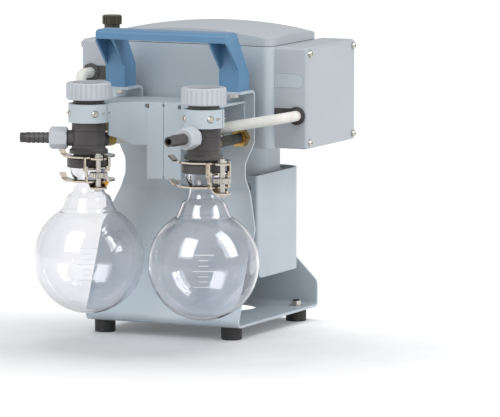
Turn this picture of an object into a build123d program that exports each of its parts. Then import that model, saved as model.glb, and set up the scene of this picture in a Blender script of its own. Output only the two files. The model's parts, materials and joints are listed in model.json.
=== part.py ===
from build123d import *
import math
import os

# Twin-head diaphragm vacuum pump on a folded sheet frame, with two separator heads and two round flasks.
# Millimetres. X runs across the pump, Y towards its back and Z up from the floor that the feet stand on.
# Y is counted from the front end of the frame's flat base until every piece is centred for export.

# ---- Frame ----
SHEET = 2.5
FOOT_HEIGHT = 12.0
FOOT_RADIUS = 9.9
FOOT_X = 66.5
FOOT_FRONT_Y = 8.0
FOOT_REAR_Y = 156.0
BASE_HALF_WIDTH = 80.0
BASE_LENGTH = 175.0
FRONT_BEND_RADIUS = 6.0
REAR_BEND_RADIUS = 5.0
UPRIGHT_Y = 45.0
KNEE_Z = 135.0
KNEE_RADIUS = 10.0
WAIST_HALF_WIDTH = 63.0
WAIST_LOW_Z = 149.0
WAIST_HIGH_Z = 163.0
FLARE_LOW_Z = 102.0
FLARE_HIGH_Z = 183.0
OUTLINE_RADIUS = 10.0
UPRIGHT_HALF_WIDTH = 72.5
TAB_TOP_Z = 234.0
TAB_INNER_X = 45.5
TAB_FLANGE = 30.0
TAB_BEND_RADIUS = 4.0
NOTCH_Z = 222.0
REAR_SHOULDER_Z = 37.0
REAR_HALF_WIDTH = 45.0
REAR_TOP_Z = 130.0
BASE_VENT_RADIUS = 38.0
NUT_RADIUS = 5.2
NUT_HEIGHT = 5.0
FOOT_STUD_RADIUS = 3.0
BOLT_RADIUS = 2.5
HANDLE_BOLT_TOP_Z = 246.0
SPACER_RADIUS = 6.0

# ---- Motor ----
AXIS_Y = 119.0
NECK_HALF_WIDTH = 58.0
NECK_FRONT_Y = 71.0
NECK_BACK_Y = 163.0
NECK_CORNER = 33.0
NECK_WALL = 4.0
NECK_LOW_Z = 140.0
CASE_RADIUS = 44.0
CASE_LOW_Z = 72.0
CASE_WALL = 4.0
CASE_FLANGE = 4.0
FIN_COUNT = 16
FIN_HEIGHT = 3.0
FIN_THICKNESS = 2.4
SHAFT_RADIUS = 6.0
SHAFT_LOW_Z = 57.0
ROTOR_RADIUS = 27.5
AIR_GAP = 0.6
BEARING_RADIUS = 11.0
BEARING_WIDTH = 9.0
FAN_RADIUS = 42.0
FAN_BLADES = 9
RUNNING_CLEARANCE = 0.05

# ---- Motor hood ----
HOOD_HALF_WIDTH = 67.0
HOOD_FRONT_Y = 66.0
HOOD_BACK_Y = 173.0
HOOD_LOW_Z = 51.0
HOOD_HIGH_Z = 149.5
HOOD_WALL = 2.5
HOOD_FRONT_RADIUS = 3.0
HOOD_BACK_RADIUS = 22.0
HOOD_LOW_RADIUS = 10.0
HOOD_SCREW_X = 55.0
HOOD_SCREW_Z = 137.6
GRILLE_SLOTS = 44
GRILLE_DROP = 4.0
GRILLE_THICKNESS = 2.5

# ---- Pump housing ----
HOUSING_HALF_WIDTH = 85.4
HOUSING_FRONT_Y = 56.0
HOUSING_BACK_Y = 163.0
HOUSING_LOW_Z = 177.0
HOUSING_HIGH_Z = 274.0
HOUSING_WALL = 4.0
HOUSING_CORNER = 9.0
LID_SEAM = 0.5
LID_RIM = 9.0
LID_RISE = 9.0
LID_WALL = 2.5

# ---- Pump heads ----
COVER_DEPTH = 33.6
COVER_FRONT_Y = 64.0
COVER_BACK_Y = 177.0
COVER_WALL = 2.5
COVER_EDGE = 3.0
COVER_SCREW_INSET = 6.0
PORT_INSET = 10.5
PORT_RISE = 16.5
SLOT_RADIUS = 6.7
COLLAR_RADIUS = 8.6
HEAD_RADIUS = 41.0
HEAD_SCREW_RADIUS = 2.2
COVER_SCREW_RADIUS = 2.0
COVER_POST_RADIUS = 2.9
SOCKET_DEPTH = 8.0
VALVE_RADIUS = 7.6
VALVE_THICKNESS = 1.2
DIAPHRAGM_THICKNESS = 1.6
DIAPHRAGM_RADIUS = 31.0
CHAMBER_RADIUS = 27.0
HEAD_PLATE_THICKNESS = 11.6
HEAD_LID_THICKNESS = 7.0
CRANK_THROW = 3.0
ECCENTRIC_RADIUS = 15.0
ROD_WIDTH = 12.0
ROD_GAP = 3.0
SUPPORT_RADIUS = 16.0
STUD_RADIUS = 4.0

# ---- Hoses ----
HOSE_RADIUS = 5.0
HOSE_BORE = 3.0
HOSE_A_ANGLE = 84.0
HOSE_A_Z = 198.5
HOSE_B_ANGLE = 57.0
HOSE_B_Z = 188.0
OUTLET_PORT_Z = 188.0
BULKHEAD_WALL = 1.0
HOSE_SOCKET_WALL = 1.5
BRASS_NUT_WALL = 1.6
BRASS_NUT_LENGTH = 8.0

# ---- Separator heads, one each side of the middle ----
HEAD_X = 60.0
HEAD_Y = -40.0
BODY_RADIUS = 16.0
BODY_BORE = 11.0
NECK_CORE = 14.6
THREAD_RADIUS = 17.6
PLUG_RADIUS = 13.0
PLUG_LOW_Z = 228.0
RING_RADIUS = 19.3
RING_LOW_Z = 205.5
RING_HIGH_Z = 223.0
RING_GAP = 1.0
RING_SCREW_ANGLES = (-135.0, -45.0)
CAP_RADIUS = 21.25
CAP_LOW_Z = 227.0
CAP_HIGH_Z = 243.0
CAP_OPENING = 15.5
CAP_RIBS = 27
BODY_FLANGE_RADIUS = 18.3
BODY_FLANGE_Z = 176.0
CUP_RADIUS = 20.5
CUP_NECK = 14.5
SEAT_GAP = 0.3
SOCKET_START = 14.3
SOCKET_REACH = 19.0
NOZZLE_SOCKET_RADIUS = 7.6
JOINT_CENTRE_Z = 162.0
BALL_RADIUS = 17.5
NOZZLE_RADIUS = 5.3
NOZZLE_BORE = 3.0
NOZZLE_TIP_RADIUS = 4.75
NOZZLE_LENGTH = 65.0
NOZZLE_LAND = 5.0
NOZZLE_CHAMFER = 0.5
BARB_START = 38.0
BARBS = 5
INLET_NOZZLE_Z = 190.0
INLET_NOZZLE_ANGLE = 200.0
OUTLET_NOZZLE_Z = 197.5
OUTLET_NOZZLE_ANGLE = 265.0
UNION_NUT_FLATS = 19.0
UNION_NUT_LENGTH = 17.0

# ---- Separator brackets ----
BRACKET_SHEET = 2.0
PANEL_HALF_WIDTH = 17.5
PANEL_Y = 0.0
PANEL_LOW_Z = 150.0
BRACKET_TOP_Z = 223.0
BRACKET_REAR_HALF_WIDTH = 63.0
BRACKET_REAR_LOW_Z = 203.0
SEAM = 0.4

# ---- Flasks: 500 ml, 105 mm ----
FLASK_RADIUS = 52.5
FLASK_CENTRE_Z = 76.2
FLASK_WALL = 2.0
FLASK_NECK_RADIUS = 13.75
FLASK_SHOULDER = 33.0

# ---- Joint clamps ----
FORK_SHEET = 1.6
FORK_HALF_WIDTH = 25.0
FORK_TIP = 21.0
HINGE_REACH = 24.5
HINGE_Z = 163.5
SCREW_REACH = 31.0
SCREW_RADIUS = 2.6
PIN_RADIUS = 1.2
PAD_RADIUS = 8.0
PAD_DROP = 5.0
TIP_LIFT = 28.0
CLAMP_NUT_RADIUS = 8.5
CLAMP_NUT_HEIGHT = 5.0
CLAMP_NUT_Z = 155.6
CLAMP_ANGLES = {"left": -46.7, "right": -31.0}

# ---- Handle ----
HANDLE_HALF_WIDTH = 69.5
HANDLE_LEG_WIDTH = 20.0
HANDLE_LEG_FRONT_Y = 16.0
HANDLE_LEG_BACK_Y = 40.0
HANDLE_BEND_Z = 255.0
HANDLE_BAR_LOW_Z = 281.5
HANDLE_BAR_HIGH_Z = 290.5
HANDLE_LEAN = 25.0
HANDLE_WALL = 2.2

# ---- Controls ----
KNOB_INSET = 17.0
KNOB_Y = 96.0
KNOB_RADIUS = 9.5
KNOB_TOP_Z = 295.0
KNOB_STEM_RADIUS = 3.0
INLET_X = 52.0
INLET_Z = 212.0
INLET_HALF_WIDTH = 13.6
ROCKER_RISE = 23.0
ROCKER_TIP = 7.0

# ---- Worked out ----
BASE_TOP_Z = FOOT_HEIGHT + SHEET
CRANK_Z = (HOUSING_LOW_Z + HOUSING_HIGH_Z) / 2
COVER_X = HOUSING_HALF_WIDTH + COVER_DEPTH
PORT_X = COVER_X - PORT_INSET
KNOB_X = KNOB_INSET - COVER_X
BULKHEAD_RADIUS = HOSE_RADIUS + BULKHEAD_WALL
HOSE_SOCKET_RADIUS = HOSE_RADIUS + HOSE_SOCKET_WALL
BRASS_NUT_RADIUS = HOSE_RADIUS + BRASS_NUT_WALL
PORT_HIGH_Z = CRANK_Z + PORT_RISE
PORT_LOW_Z = CRANK_Z - PORT_RISE
BEARING_BORE = SHAFT_RADIUS
ROD_BORE = 21.0
ROD_OUTER = 27.0
HEAD_FACE_X = HOUSING_HALF_WIDTH + HEAD_PLATE_THICKNESS
MOUTH_RADIUS = SUPPORT_RADIUS + CRANK_THROW + 5.0
ROCKER_Z = INLET_Z + ROCKER_RISE
SIDES = {"left": -1, "right": 1}
BOTTOM = (Align.CENTER, Align.CENTER, Align.MIN)


# ---- Small helpers ----
def block(x0, x1, y0, y1, z0, z1):
    """Box between two corners."""
    return Pos(x0, y0, z0) * Box(x1 - x0, y1 - y0, z1 - z0, align=(Align.MIN, Align.MIN, Align.MIN))


def post(radius, z0, z1, x=0.0, y=0.0):
    """Upright cylinder."""
    return Pos(x, y, z0) * Cylinder(radius, z1 - z0, align=BOTTOM)


def bar(start, end, radius):
    """Cylinder from one point to another."""
    line = Vector(*end) - Vector(*start)
    return Plane(origin=start, z_dir=line) * Cylinder(radius, line.length, align=BOTTOM)


def turned(profile, x=0.0, y=0.0):
    """Solid turned about an upright axis from (radius, z) corners."""
    outline = Polyline(*[(r, 0, z) for r, z in profile], close=True)
    return Pos(x, y, 0) * revolve(make_face(outline), Axis.Z)


def turned_on_crank(profile):
    """Solid turned about the line through both pump heads from (x, radius) corners."""
    outline = Polyline(*[(x, 0, r) for x, r in profile], close=True)
    return Pos(0, AXIS_Y, CRANK_Z) * revolve(make_face(outline), Axis.X)


def on_side(shape, side):
    """A right-hand shape, mirrored for the left side."""
    return shape if side == "right" else mirror(shape, about=Plane.YZ)


def both_sides(shape):
    """A right-hand shape and its mirror image."""
    return [shape, mirror(shape, about=Plane.YZ)]


def beside(points, distance):
    """Corners of the line that runs beside an open flat polyline, on its left."""
    corners = []
    for index, (a, b) in enumerate(points):
        before = points[index - 1] if index else None
        after = points[index + 1] if index + 1 < len(points) else None
        normals = []
        for start, end in ((before, (a, b)), ((a, b), after)):
            if start and end:
                length = math.dist(start, end)
                normals.append((-(end[1] - start[1]) / length, (end[0] - start[0]) / length))
        first, last = normals[0], normals[-1]
        share = distance / (1 + first[0] * last[0] + first[1] * last[1])
        corners.append((a + (first[0] + last[0]) * share, b + (first[1] + last[1]) * share))
    return corners


def rounded_block(x0, x1, y0, y1, z0, z1, radius):
    """Block with rounded upright edges."""
    plan = RectangleRounded(x1 - x0, y1 - y0, radius)
    return Pos((x0 + x1) / 2, (y0 + y1) / 2, z0) * extrude(plan, z1 - z0)


def fluted(radius, depth, count, z0, z1, chamfer_size):
    """Upright disc with straight flutes round its rim and a chamfered top and bottom."""
    corners = []
    step = 360 / count
    for index in range(count):
        for turn, r in ((0.0, radius), (0.55, radius), (0.65, radius - depth), (0.9, radius - depth)):
            angle = math.radians((index + turn) * step)
            corners.append((r * math.cos(angle), r * math.sin(angle)))
    disc = Pos(0, 0, z0) * extrude(make_face(Polyline(*corners, close=True)), z1 - z0)
    c = chamfer_size
    form = [(0, z0), (radius - c, z0), (radius, z0 + c), (radius, z1 - c), (radius - c, z1), (0, z1)]
    return disc & turned(form)


def pan_screw(start, direction, shank_radius, length, head_radius, head_height):
    """Screw whose head sits on the point start and whose shank runs along direction."""
    place = Plane(origin=start, z_dir=direction)
    shank = Cylinder(shank_radius, length, align=BOTTOM)
    head = Pos(0, 0, -head_height) * Cylinder(head_radius, head_height, align=BOTTOM)
    head = chamfer(head.edges().sort_by(Axis.Z)[0], head_height * 0.35)
    recess = Pos(0, 0, -head_height) * Box(head_radius, 0.9, head_height * 0.6)
    cross = Pos(0, 0, -head_height) * Box(0.9, head_radius, head_height * 0.6)
    return place * (shank + head - recess - cross)


# ---- Frame ----
def front_lean():
    """Angle from upright of the sheet between the front bend and the knee."""
    rise = KNEE_Z - FOOT_HEIGHT - FRONT_BEND_RADIUS
    reach = math.hypot(UPRIGHT_Y, rise)
    return math.atan2(UPRIGHT_Y, rise) + math.asin(FRONT_BEND_RADIUS / reach)


def frame_sheet():
    """Folded strip seen from the side: tab flange, upright, leaning front, base and rear plate."""
    front_corner_y = UPRIGHT_Y - (KNEE_Z - FOOT_HEIGHT) * math.tan(front_lean())
    under = [
        (UPRIGHT_Y - TAB_FLANGE, TAB_TOP_Z - SHEET),
        (UPRIGHT_Y, TAB_TOP_Z - SHEET),
        (UPRIGHT_Y, KNEE_Z),
        (front_corner_y, FOOT_HEIGHT),
        (BASE_LENGTH + SHEET, FOOT_HEIGHT),
        (BASE_LENGTH + SHEET, REAR_TOP_Z),
    ]
    over = beside(under, SHEET)
    under_radii = [TAB_BEND_RADIUS, KNEE_RADIUS, FRONT_BEND_RADIUS, REAR_BEND_RADIUS]
    over_radii = [
        TAB_BEND_RADIUS + SHEET,
        KNEE_RADIUS + SHEET,
        FRONT_BEND_RADIUS - SHEET,
        REAR_BEND_RADIUS - SHEET,
    ]
    lines = [
        FilletPolyline(*[(0, y, z) for y, z in under], radius=under_radii),
        FilletPolyline(*[(0, y, z) for y, z in over], radius=over_radii),
        Line((0, *under[0]), (0, *over[0])),
        Line((0, *under[-1]), (0, *over[-1])),
    ]
    return extrude(make_face(lines), BASE_HALF_WIDTH, both=True, dir=(1, 0, 0))


def outline_prism(points, radius, y0, y1):
    """Symmetrical upright outline, given by its right-hand (x, z) corners, as a prism along Y."""
    side = FilletPolyline(*[(x, 0, z) for x, z in points], radius=radius)
    start, end = points[0], points[-1]
    rest = Polyline((start[0], 0, start[1]), (0, 0, start[1]), (0, 0, end[1]), (end[0], 0, end[1]))
    half = extrude(make_face([side, rest]), y1 - y0, dir=(0, 1, 0))
    return Pos(0, y0, 0) * (half + mirror(half, about=Plane.YZ))


def frame_bolt_points():
    """Places (x, z) of the bolts between the upright and the pump housing."""
    return [(x, z) for x in (-36.0, 36.0) for z in (190.0, 212.0)]


def rear_screw_points():
    """Places (x, z) of the screws between the rear plate and the motor hood."""
    return [(-26.0, 108.0), (26.0, 108.0)]


def frame():
    middle_y = BASE_LENGTH / 2
    front = [
        (BASE_HALF_WIDTH, 0),
        (BASE_HALF_WIDTH, FLARE_LOW_Z),
        (WAIST_HALF_WIDTH, WAIST_LOW_Z),
        (WAIST_HALF_WIDTH, WAIST_HIGH_Z),
        (UPRIGHT_HALF_WIDTH, FLARE_HIGH_Z),
        (UPRIGHT_HALF_WIDTH, TAB_TOP_Z + SHEET),
    ]
    rear = [
        (BASE_HALF_WIDTH, 0),
        (BASE_HALF_WIDTH, REAR_SHOULDER_Z),
        (REAR_HALF_WIDTH, REAR_SHOULDER_Z + BASE_HALF_WIDTH - REAR_HALF_WIDTH),
        (REAR_HALF_WIDTH, REAR_TOP_Z + SHEET),
    ]
    front_form = outline_prism(front, OUTLINE_RADIUS, -4 * FRONT_BEND_RADIUS, middle_y)
    rear_form = outline_prism(rear, OUTLINE_RADIUS, middle_y, BASE_LENGTH + 2 * SHEET)
    body = frame_sheet() & (front_form + rear_form)
    y0, y1 = UPRIGHT_Y - TAB_FLANGE - SHEET, UPRIGHT_Y + 2 * SHEET
    body -= block(-TAB_INNER_X, TAB_INNER_X, y0, y1, NOTCH_Z, TAB_TOP_Z + SHEET)
    body -= post(BASE_VENT_RADIUS, FOOT_HEIGHT - SHEET, BASE_TOP_Z + SHEET, 0, AXIS_Y)
    for x, y in foot_points():
        body -= post(FOOT_STUD_RADIUS, FOOT_HEIGHT - SHEET, BASE_TOP_Z + SHEET, x, y)
    for x, z in frame_bolt_points():
        body -= bar((x, UPRIGHT_Y - SHEET, z), (x, UPRIGHT_Y + 2 * SHEET, z), BOLT_RADIUS)
    for x, z in rear_screw_points():
        body -= bar((x, BASE_LENGTH - SHEET, z), (x, BASE_LENGTH + 2 * SHEET, z), BOLT_RADIUS)
    for x in (-handle_leg_x(), handle_leg_x()):
        body -= post(BOLT_RADIUS, TAB_TOP_Z - 2 * SHEET, TAB_TOP_Z + SHEET, x, handle_bolt_y())
    port_start = (HEAD_X, UPRIGHT_Y - SHEET, OUTLET_PORT_Z)
    body -= bar(port_start, (HEAD_X, UPRIGHT_Y + 2 * SHEET, OUTLET_PORT_Z), BULKHEAD_RADIUS)
    return body


def foot_points():
    return [(x, y) for x in (-FOOT_X, FOOT_X) for y in (FOOT_FRONT_Y, FOOT_REAR_Y)]


def feet():
    """Rubber buffers, each with its stud up through the base."""
    solids = []
    for x, y in foot_points():
        rubber = post(FOOT_RADIUS, 0, FOOT_HEIGHT, x, y)
        rubber = chamfer(rubber.edges().group_by(Axis.Z)[0], 0.8)
        stud = post(FOOT_STUD_RADIUS, FOOT_HEIGHT, BASE_TOP_Z + NUT_HEIGHT + 1.0, x, y)
        solids.append(rubber + stud)
    return solids


def frame_fasteners():
    """Foot nuts, handle bolts, housing bolts with their spacers and the screws of the motor hood."""
    solids = []
    for x, y in foot_points():
        nut = Pos(x, y, BASE_TOP_Z + 1) * extrude(RegularPolygon(NUT_RADIUS, 6), NUT_HEIGHT - 1)
        flange = post(NUT_RADIUS + 1.2, BASE_TOP_Z, BASE_TOP_Z + 1, x, y)
        solids.append(nut + flange - post(FOOT_STUD_RADIUS, BASE_TOP_Z, BASE_TOP_Z + 2 * NUT_HEIGHT, x, y))
    for x in (-handle_leg_x(), handle_leg_x()):
        head_z = TAB_TOP_Z - SHEET - 4.0
        bolt = Pos(x, handle_bolt_y(), head_z) * extrude(RegularPolygon(4.6, 6), 4.0)
        solids.append(bolt + post(BOLT_RADIUS, TAB_TOP_Z - SHEET, HANDLE_BOLT_TOP_Z, x, handle_bolt_y()))
    for x, z in frame_bolt_points():
        start = (x, UPRIGHT_Y - (BRACKET_SHEET if z > BRACKET_REAR_LOW_Z else 0), z)
        length = HOUSING_FRONT_Y - start[1] + HOUSING_WALL - 1.0
        solids.append(pan_screw(start, (0, 1, 0), BOLT_RADIUS, length, 4.8, 3.0))
        spacer = bar((x, UPRIGHT_Y + SHEET, z), (x, HOUSING_FRONT_Y, z), SPACER_RADIUS)
        solids.append(spacer - bar((x, UPRIGHT_Y, z), (x, HOUSING_FRONT_Y, z), BOLT_RADIUS))
    for x, z in rear_screw_points():
        screw = bar((x, HOOD_BACK_Y - HOOD_WALL, z), (x, BASE_LENGTH + SHEET, z), BOLT_RADIUS)
        washer = bar((x, HOOD_BACK_Y, z), (x, BASE_LENGTH, z), SPACER_RADIUS)
        solids.append(screw + washer)
    for x in (-HOOD_SCREW_X, HOOD_SCREW_X):
        start = (x, HOOD_FRONT_Y - 1.0, HOOD_SCREW_Z)
        washer = bar((x, HOOD_FRONT_Y - 1.0, HOOD_SCREW_Z), (x, HOOD_FRONT_Y, HOOD_SCREW_Z), 5.3)
        solids.append(washer + pan_screw(start, (0, 1, 0), BOLT_RADIUS, HOOD_WALL + 1.0, 4.0, 2.2))
    return solids


# ---- Handle ----
def handle_leg_x():
    return HANDLE_HALF_WIDTH - HANDLE_LEG_WIDTH / 2


def handle_bolt_y():
    return (HANDLE_LEG_FRONT_Y + HANDLE_LEG_BACK_Y) / 2


def handle():
    """Bridge handle: two hollow-fronted legs that lean forward to one bar."""
    depth = HANDLE_LEG_BACK_Y - HANDLE_LEG_FRONT_Y
    bar_front = HANDLE_LEG_FRONT_Y - HANDLE_LEAN
    side = [
        (HANDLE_LEG_FRONT_Y, TAB_TOP_Z),
        (HANDLE_LEG_FRONT_Y, HANDLE_BEND_Z),
        (bar_front, HANDLE_BAR_LOW_Z),
        (bar_front, HANDLE_BAR_HIGH_Z),
        (bar_front + depth, HANDLE_BAR_HIGH_Z),
        (HANDLE_LEG_BACK_Y, HANDLE_BEND_Z),
        (HANDLE_LEG_BACK_Y, TAB_TOP_Z),
    ]
    profile = make_face(Polyline(*[(0, y, z) for y, z in side], close=True))
    body = extrude(profile, HANDLE_HALF_WIDTH, both=True, dir=(1, 0, 0))
    bar_edges = body.edges().filter_by(Axis.X).group_by(Axis.Z)[-1]
    body = fillet(bar_edges, (HANDLE_BAR_HIGH_Z - HANDLE_BAR_LOW_Z) * 0.4)
    end_edges = body.edges().filter_by(Axis.Y).group_by(Axis.Z)[-1]
    body = fillet(end_edges, 4.0)
    inner = HANDLE_HALF_WIDTH - HANDLE_LEG_WIDTH
    body -= block(-inner, inner, bar_front - 1, HANDLE_LEG_BACK_Y + 1, TAB_TOP_Z - 1, HANDLE_BAR_LOW_Z)
    under_bar = [(bar_front + depth, HANDLE_BAR_LOW_Z), (HANDLE_LEG_BACK_Y + 1, HANDLE_BAR_LOW_Z)]
    over_bar = [(HANDLE_LEG_BACK_Y + 1, HANDLE_BAR_HIGH_Z), (bar_front + depth, HANDLE_BAR_HIGH_Z)]
    behind = under_bar + over_bar
    spare = make_face(Polyline(*[(0, y, z) for y, z in behind], close=True))
    body -= extrude(spare, inner, both=True, dir=(1, 0, 0))
    for sign in (-1, 1):
        x = sign * handle_leg_x()
        half = HANDLE_LEG_WIDTH / 2 - HANDLE_WALL
        body -= block(x - half, x + half, bar_front - 1, HANDLE_LEG_FRONT_Y, TAB_TOP_Z, HANDLE_BAR_LOW_Z)
        body -= post(BOLT_RADIUS, TAB_TOP_Z, HANDLE_BOLT_TOP_Z, x, handle_bolt_y())
    return body


# ---- Motor ----
def hood_form(inset, floor):
    """Outer form of the motor hood, drawn in by inset on its sides and raised by floor."""
    half = HOOD_HALF_WIDTH - inset
    front, back = HOOD_FRONT_Y + inset, HOOD_BACK_Y - inset
    plan = block(-half, half, front, back, 0, HOOD_HIGH_Z)
    upright = plan.edges().filter_by(Axis.Z)
    plan = fillet(upright.group_by(Axis.Y)[0], HOOD_FRONT_RADIUS - inset / HOOD_WALL * 1.5)
    plan = fillet(plan.edges().filter_by(Axis.Z).group_by(Axis.Y)[-1], HOOD_BACK_RADIUS - inset)
    low = HOOD_LOW_Z + floor
    side = block(-2 * half, 2 * half, front, back, low, 2 * HOOD_HIGH_Z)
    side = fillet(side.edges().filter_by(Axis.X).group_by(Axis.Z)[0], HOOD_LOW_RADIUS - inset)
    return plan & side


def motor_hood():
    """Open-topped hood round the motor with a round air inlet in its floor."""
    body = hood_form(0, 0) - hood_form(HOOD_WALL, HOOD_WALL)
    body -= post(BASE_VENT_RADIUS, HOOD_LOW_Z - 1, HOOD_LOW_Z + 2 * HOOD_WALL, 0, AXIS_Y)
    for x in (-HOOD_SCREW_X, HOOD_SCREW_X):
        y0, y1 = HOOD_FRONT_Y - 1, HOOD_FRONT_Y + 2 * HOOD_WALL
        body -= bar((x, y0, HOOD_SCREW_Z), (x, y1, HOOD_SCREW_Z), BOLT_RADIUS)
    for x, z in rear_screw_points():
        body -= bar((x, HOOD_BACK_Y - 2 * HOOD_WALL, z), (x, HOOD_BACK_Y + 1, z), BOLT_RADIUS)
    return body


def neck_form(offset, z0, z1):
    """Block with the neck's rounded outline, widened by offset."""
    half = NECK_HALF_WIDTH + offset
    y0, y1 = NECK_FRONT_Y - offset, NECK_BACK_Y + offset
    return rounded_block(-half, half, y0, y1, z0, z1, NECK_CORNER + offset)


def vent_grille():
    """Slotted ring that fills the gap between the hood's rim and the motor's neck."""
    low = HOOD_HIGH_Z - GRILLE_DROP
    high = low + GRILLE_THICKNESS
    body = hood_form(HOOD_WALL, HOOD_WALL) & block(-200, 200, 0, 300, low, high)
    rim = neck_form(1.6, low - 1, high + 1)
    body -= neck_form(RUNNING_CLEARANCE, low - 1, high + 1)
    for index in range(GRILLE_SLOTS):
        slot = block(NECK_WALL, 2 * HOOD_HALF_WIDTH, -1.6, 1.6, low - 1, high + 1)
        slot = Pos(0, AXIS_Y, 0) * Rot(0, 0, (index + 0.5) * 360 / GRILLE_SLOTS) * slot
        body -= (slot & hood_form(HOOD_WALL + 1.6, HOOD_WALL)) - rim
    return body


def bell_housing():
    """Neck between the motor and the pump housing, with the upper bearing's seat."""
    roof = HOUSING_LOW_Z - NECK_WALL
    seat_low = HOUSING_LOW_Z - BEARING_WIDTH
    body = neck_form(0, NECK_LOW_Z, HOUSING_LOW_Z) - neck_form(-NECK_WALL, NECK_LOW_Z - 1, roof)
    seat = post(BEARING_RADIUS + 6, seat_low - 2, roof) - post(SHAFT_RADIUS + 2, seat_low - 3, roof + 1)
    body += Pos(0, AXIS_Y, 0) * seat
    return body - post(BEARING_RADIUS, seat_low, HOUSING_LOW_Z + 1, 0, AXIS_Y)


def motor_case():
    """Finned motor body with the lower bearing's seat, bolted under the neck."""
    bore = CASE_RADIUS - CASE_WALL
    flange_low = NECK_LOW_Z - CASE_FLANGE
    seat_low = CASE_LOW_Z + 2
    body = post(CASE_RADIUS, CASE_LOW_Z, NECK_LOW_Z)
    for index in range(FIN_COUNT):
        half = FIN_THICKNESS / 2
        fin = block(CASE_RADIUS - 1, CASE_RADIUS + FIN_HEIGHT, -half, half, CASE_LOW_Z + 6, flange_low)
        body += Rot(0, 0, (index + 0.5) * 360 / FIN_COUNT) * fin
    body = Pos(0, AXIS_Y, 0) * body + neck_form(0, flange_low, NECK_LOW_Z)
    seat = post(BEARING_RADIUS + 5, CASE_LOW_Z, seat_low + BEARING_WIDTH)
    hollow = post(bore, CASE_LOW_Z + CASE_WALL, NECK_LOW_Z + 1) - seat
    hollow += post(BEARING_RADIUS, seat_low, seat_low + BEARING_WIDTH + 1)
    hollow += post(SHAFT_RADIUS + 2, CASE_LOW_Z - 1, seat_low + 1)
    return body - Pos(0, AXIS_Y, 0) * hollow


def stator():
    """Laminated stator ring with its winding heads."""
    outer = CASE_RADIUS - CASE_WALL
    inner = ROTOR_RADIUS + AIR_GAP
    low, high = rotor_span()
    profile = [
        (inner, low),
        (inner + 4, low),
        (inner + 4, low - 6),
        (outer - 3, low - 6),
        (outer - 3, low),
        (outer, low),
        (outer, high),
        (outer - 3, high),
        (outer - 3, high + 6),
        (inner + 4, high + 6),
        (inner + 4, high),
        (inner, high),
    ]
    return turned(profile, 0, AXIS_Y)


def rotor_span():
    return CASE_LOW_Z + 15.0, NECK_LOW_Z - 10.0


def shaft_bearings():
    """Ball bearings at both ends of the motor, each as one grooved ring."""
    solids = []
    for low in (CASE_LOW_Z + 2, HOUSING_LOW_Z - BEARING_WIDTH):
        high = low + BEARING_WIDTH
        inner = BEARING_BORE + RUNNING_CLEARANCE
        middle = (inner + BEARING_RADIUS) / 2
        profile = [
            (inner, low),
            (middle - 0.8, low),
            (middle - 0.8, low + 1),
            (middle + 0.8, low + 1),
            (middle + 0.8, low),
            (BEARING_RADIUS, low),
            (BEARING_RADIUS, high),
            (middle + 0.8, high),
            (middle + 0.8, high - 1),
            (middle - 0.8, high - 1),
            (middle - 0.8, high),
            (inner, high),
        ]
        solids.append(turned(profile, 0, AXIS_Y))
    return solids


def rotor():
    """Shaft with the rotor core on it."""
    low, high = rotor_span()
    top = CRANK_Z + ROD_WIDTH + ROD_GAP + 2
    body = post(SHAFT_RADIUS, SHAFT_LOW_Z, top) + post(ROTOR_RADIUS, low, high)
    return Pos(0, AXIS_Y, 0) * body


def fan():
    """Radial cooling fan on the shaft's lower end."""
    low = SHAFT_LOW_Z + 0.5
    high = low + 10.0
    body = post(SHAFT_RADIUS + 4, low, high) + post(FAN_RADIUS, high - 1.6, high)
    for index in range(FAN_BLADES):
        blade = block(SHAFT_RADIUS + 2, FAN_RADIUS, -1.0, 1.0, low, high - 1)
        body += Rot(0, 0, index * 360 / FAN_BLADES) * Pos(0, 4, 0) * blade
    body -= post(SHAFT_RADIUS, low - 1, high + 1)
    return Pos(0, AXIS_Y, 0) * body


def rod_levels():
    """Lowest z of the left and the right rod's big end."""
    left = CRANK_Z - ROD_GAP / 2 - ROD_WIDTH
    return {"left": left, "right": CRANK_Z + ROD_GAP / 2}


def eccentric():
    """Eccentric that drives both rods, with the counterweight that balances it."""
    low = rod_levels()["left"] - 1
    high = rod_levels()["right"] + ROD_WIDTH + 1
    disc = post(ECCENTRIC_RADIUS, low, high, CRANK_THROW)
    weight = post(30.0, low - 9, low - 1) & block(-40, 4, -40, 40, low - 9, low - 1)
    hub = post(11.0, low - 9, low)
    body = disc + weight + hub - post(SHAFT_RADIUS, low - 20, high + 20)
    return Pos(0, AXIS_Y, 0) * body


# ---- Pump housing ----
def inlet_cutout(y0, y1):
    """Space of the mains inlet in the housing's back wall."""
    half = INLET_HALF_WIDTH + 0.2
    return block(INLET_X - half, INLET_X + half, y0, y1, INLET_Z - 10, INLET_Z + 34)


def main_housing():
    """Crank housing: a deep open-topped box with a mouth for each pump head."""
    w = HOUSING_WALL
    half = HOUSING_HALF_WIDTH
    y0, y1 = HOUSING_FRONT_Y, HOUSING_BACK_Y
    body = rounded_block(-half, half, y0, y1, HOUSING_LOW_Z, HOUSING_HIGH_Z, HOUSING_CORNER)
    inner = HOUSING_CORNER - w
    body -= rounded_block(-half + w, half - w, y0 + w, y1 - w, HOUSING_LOW_Z + w, HOUSING_HIGH_Z + 1, inner)
    body -= post(SHAFT_RADIUS + 6, HOUSING_LOW_Z - 1, HOUSING_LOW_Z + 2 * w, 0, AXIS_Y)
    body -= bar((-half - 1, AXIS_Y, CRANK_Z), (half + 1, AXIS_Y, CRANK_Z), MOUTH_RADIUS)
    for x, z in frame_bolt_points():
        body -= bar((x, y0 - 1, z), (x, y0 + w - 1, z), BOLT_RADIUS)
    for y, z in head_screw_points():
        body -= bar((-half - 1, y, z), (-half + w - 1, y, z), HEAD_SCREW_RADIUS)
        body -= bar((half - w + 1, y, z), (half + 1, y, z), HEAD_SCREW_RADIUS)
    body -= inlet_cutout(y1 - 2 * w, y1 + 1)
    return body


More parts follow.
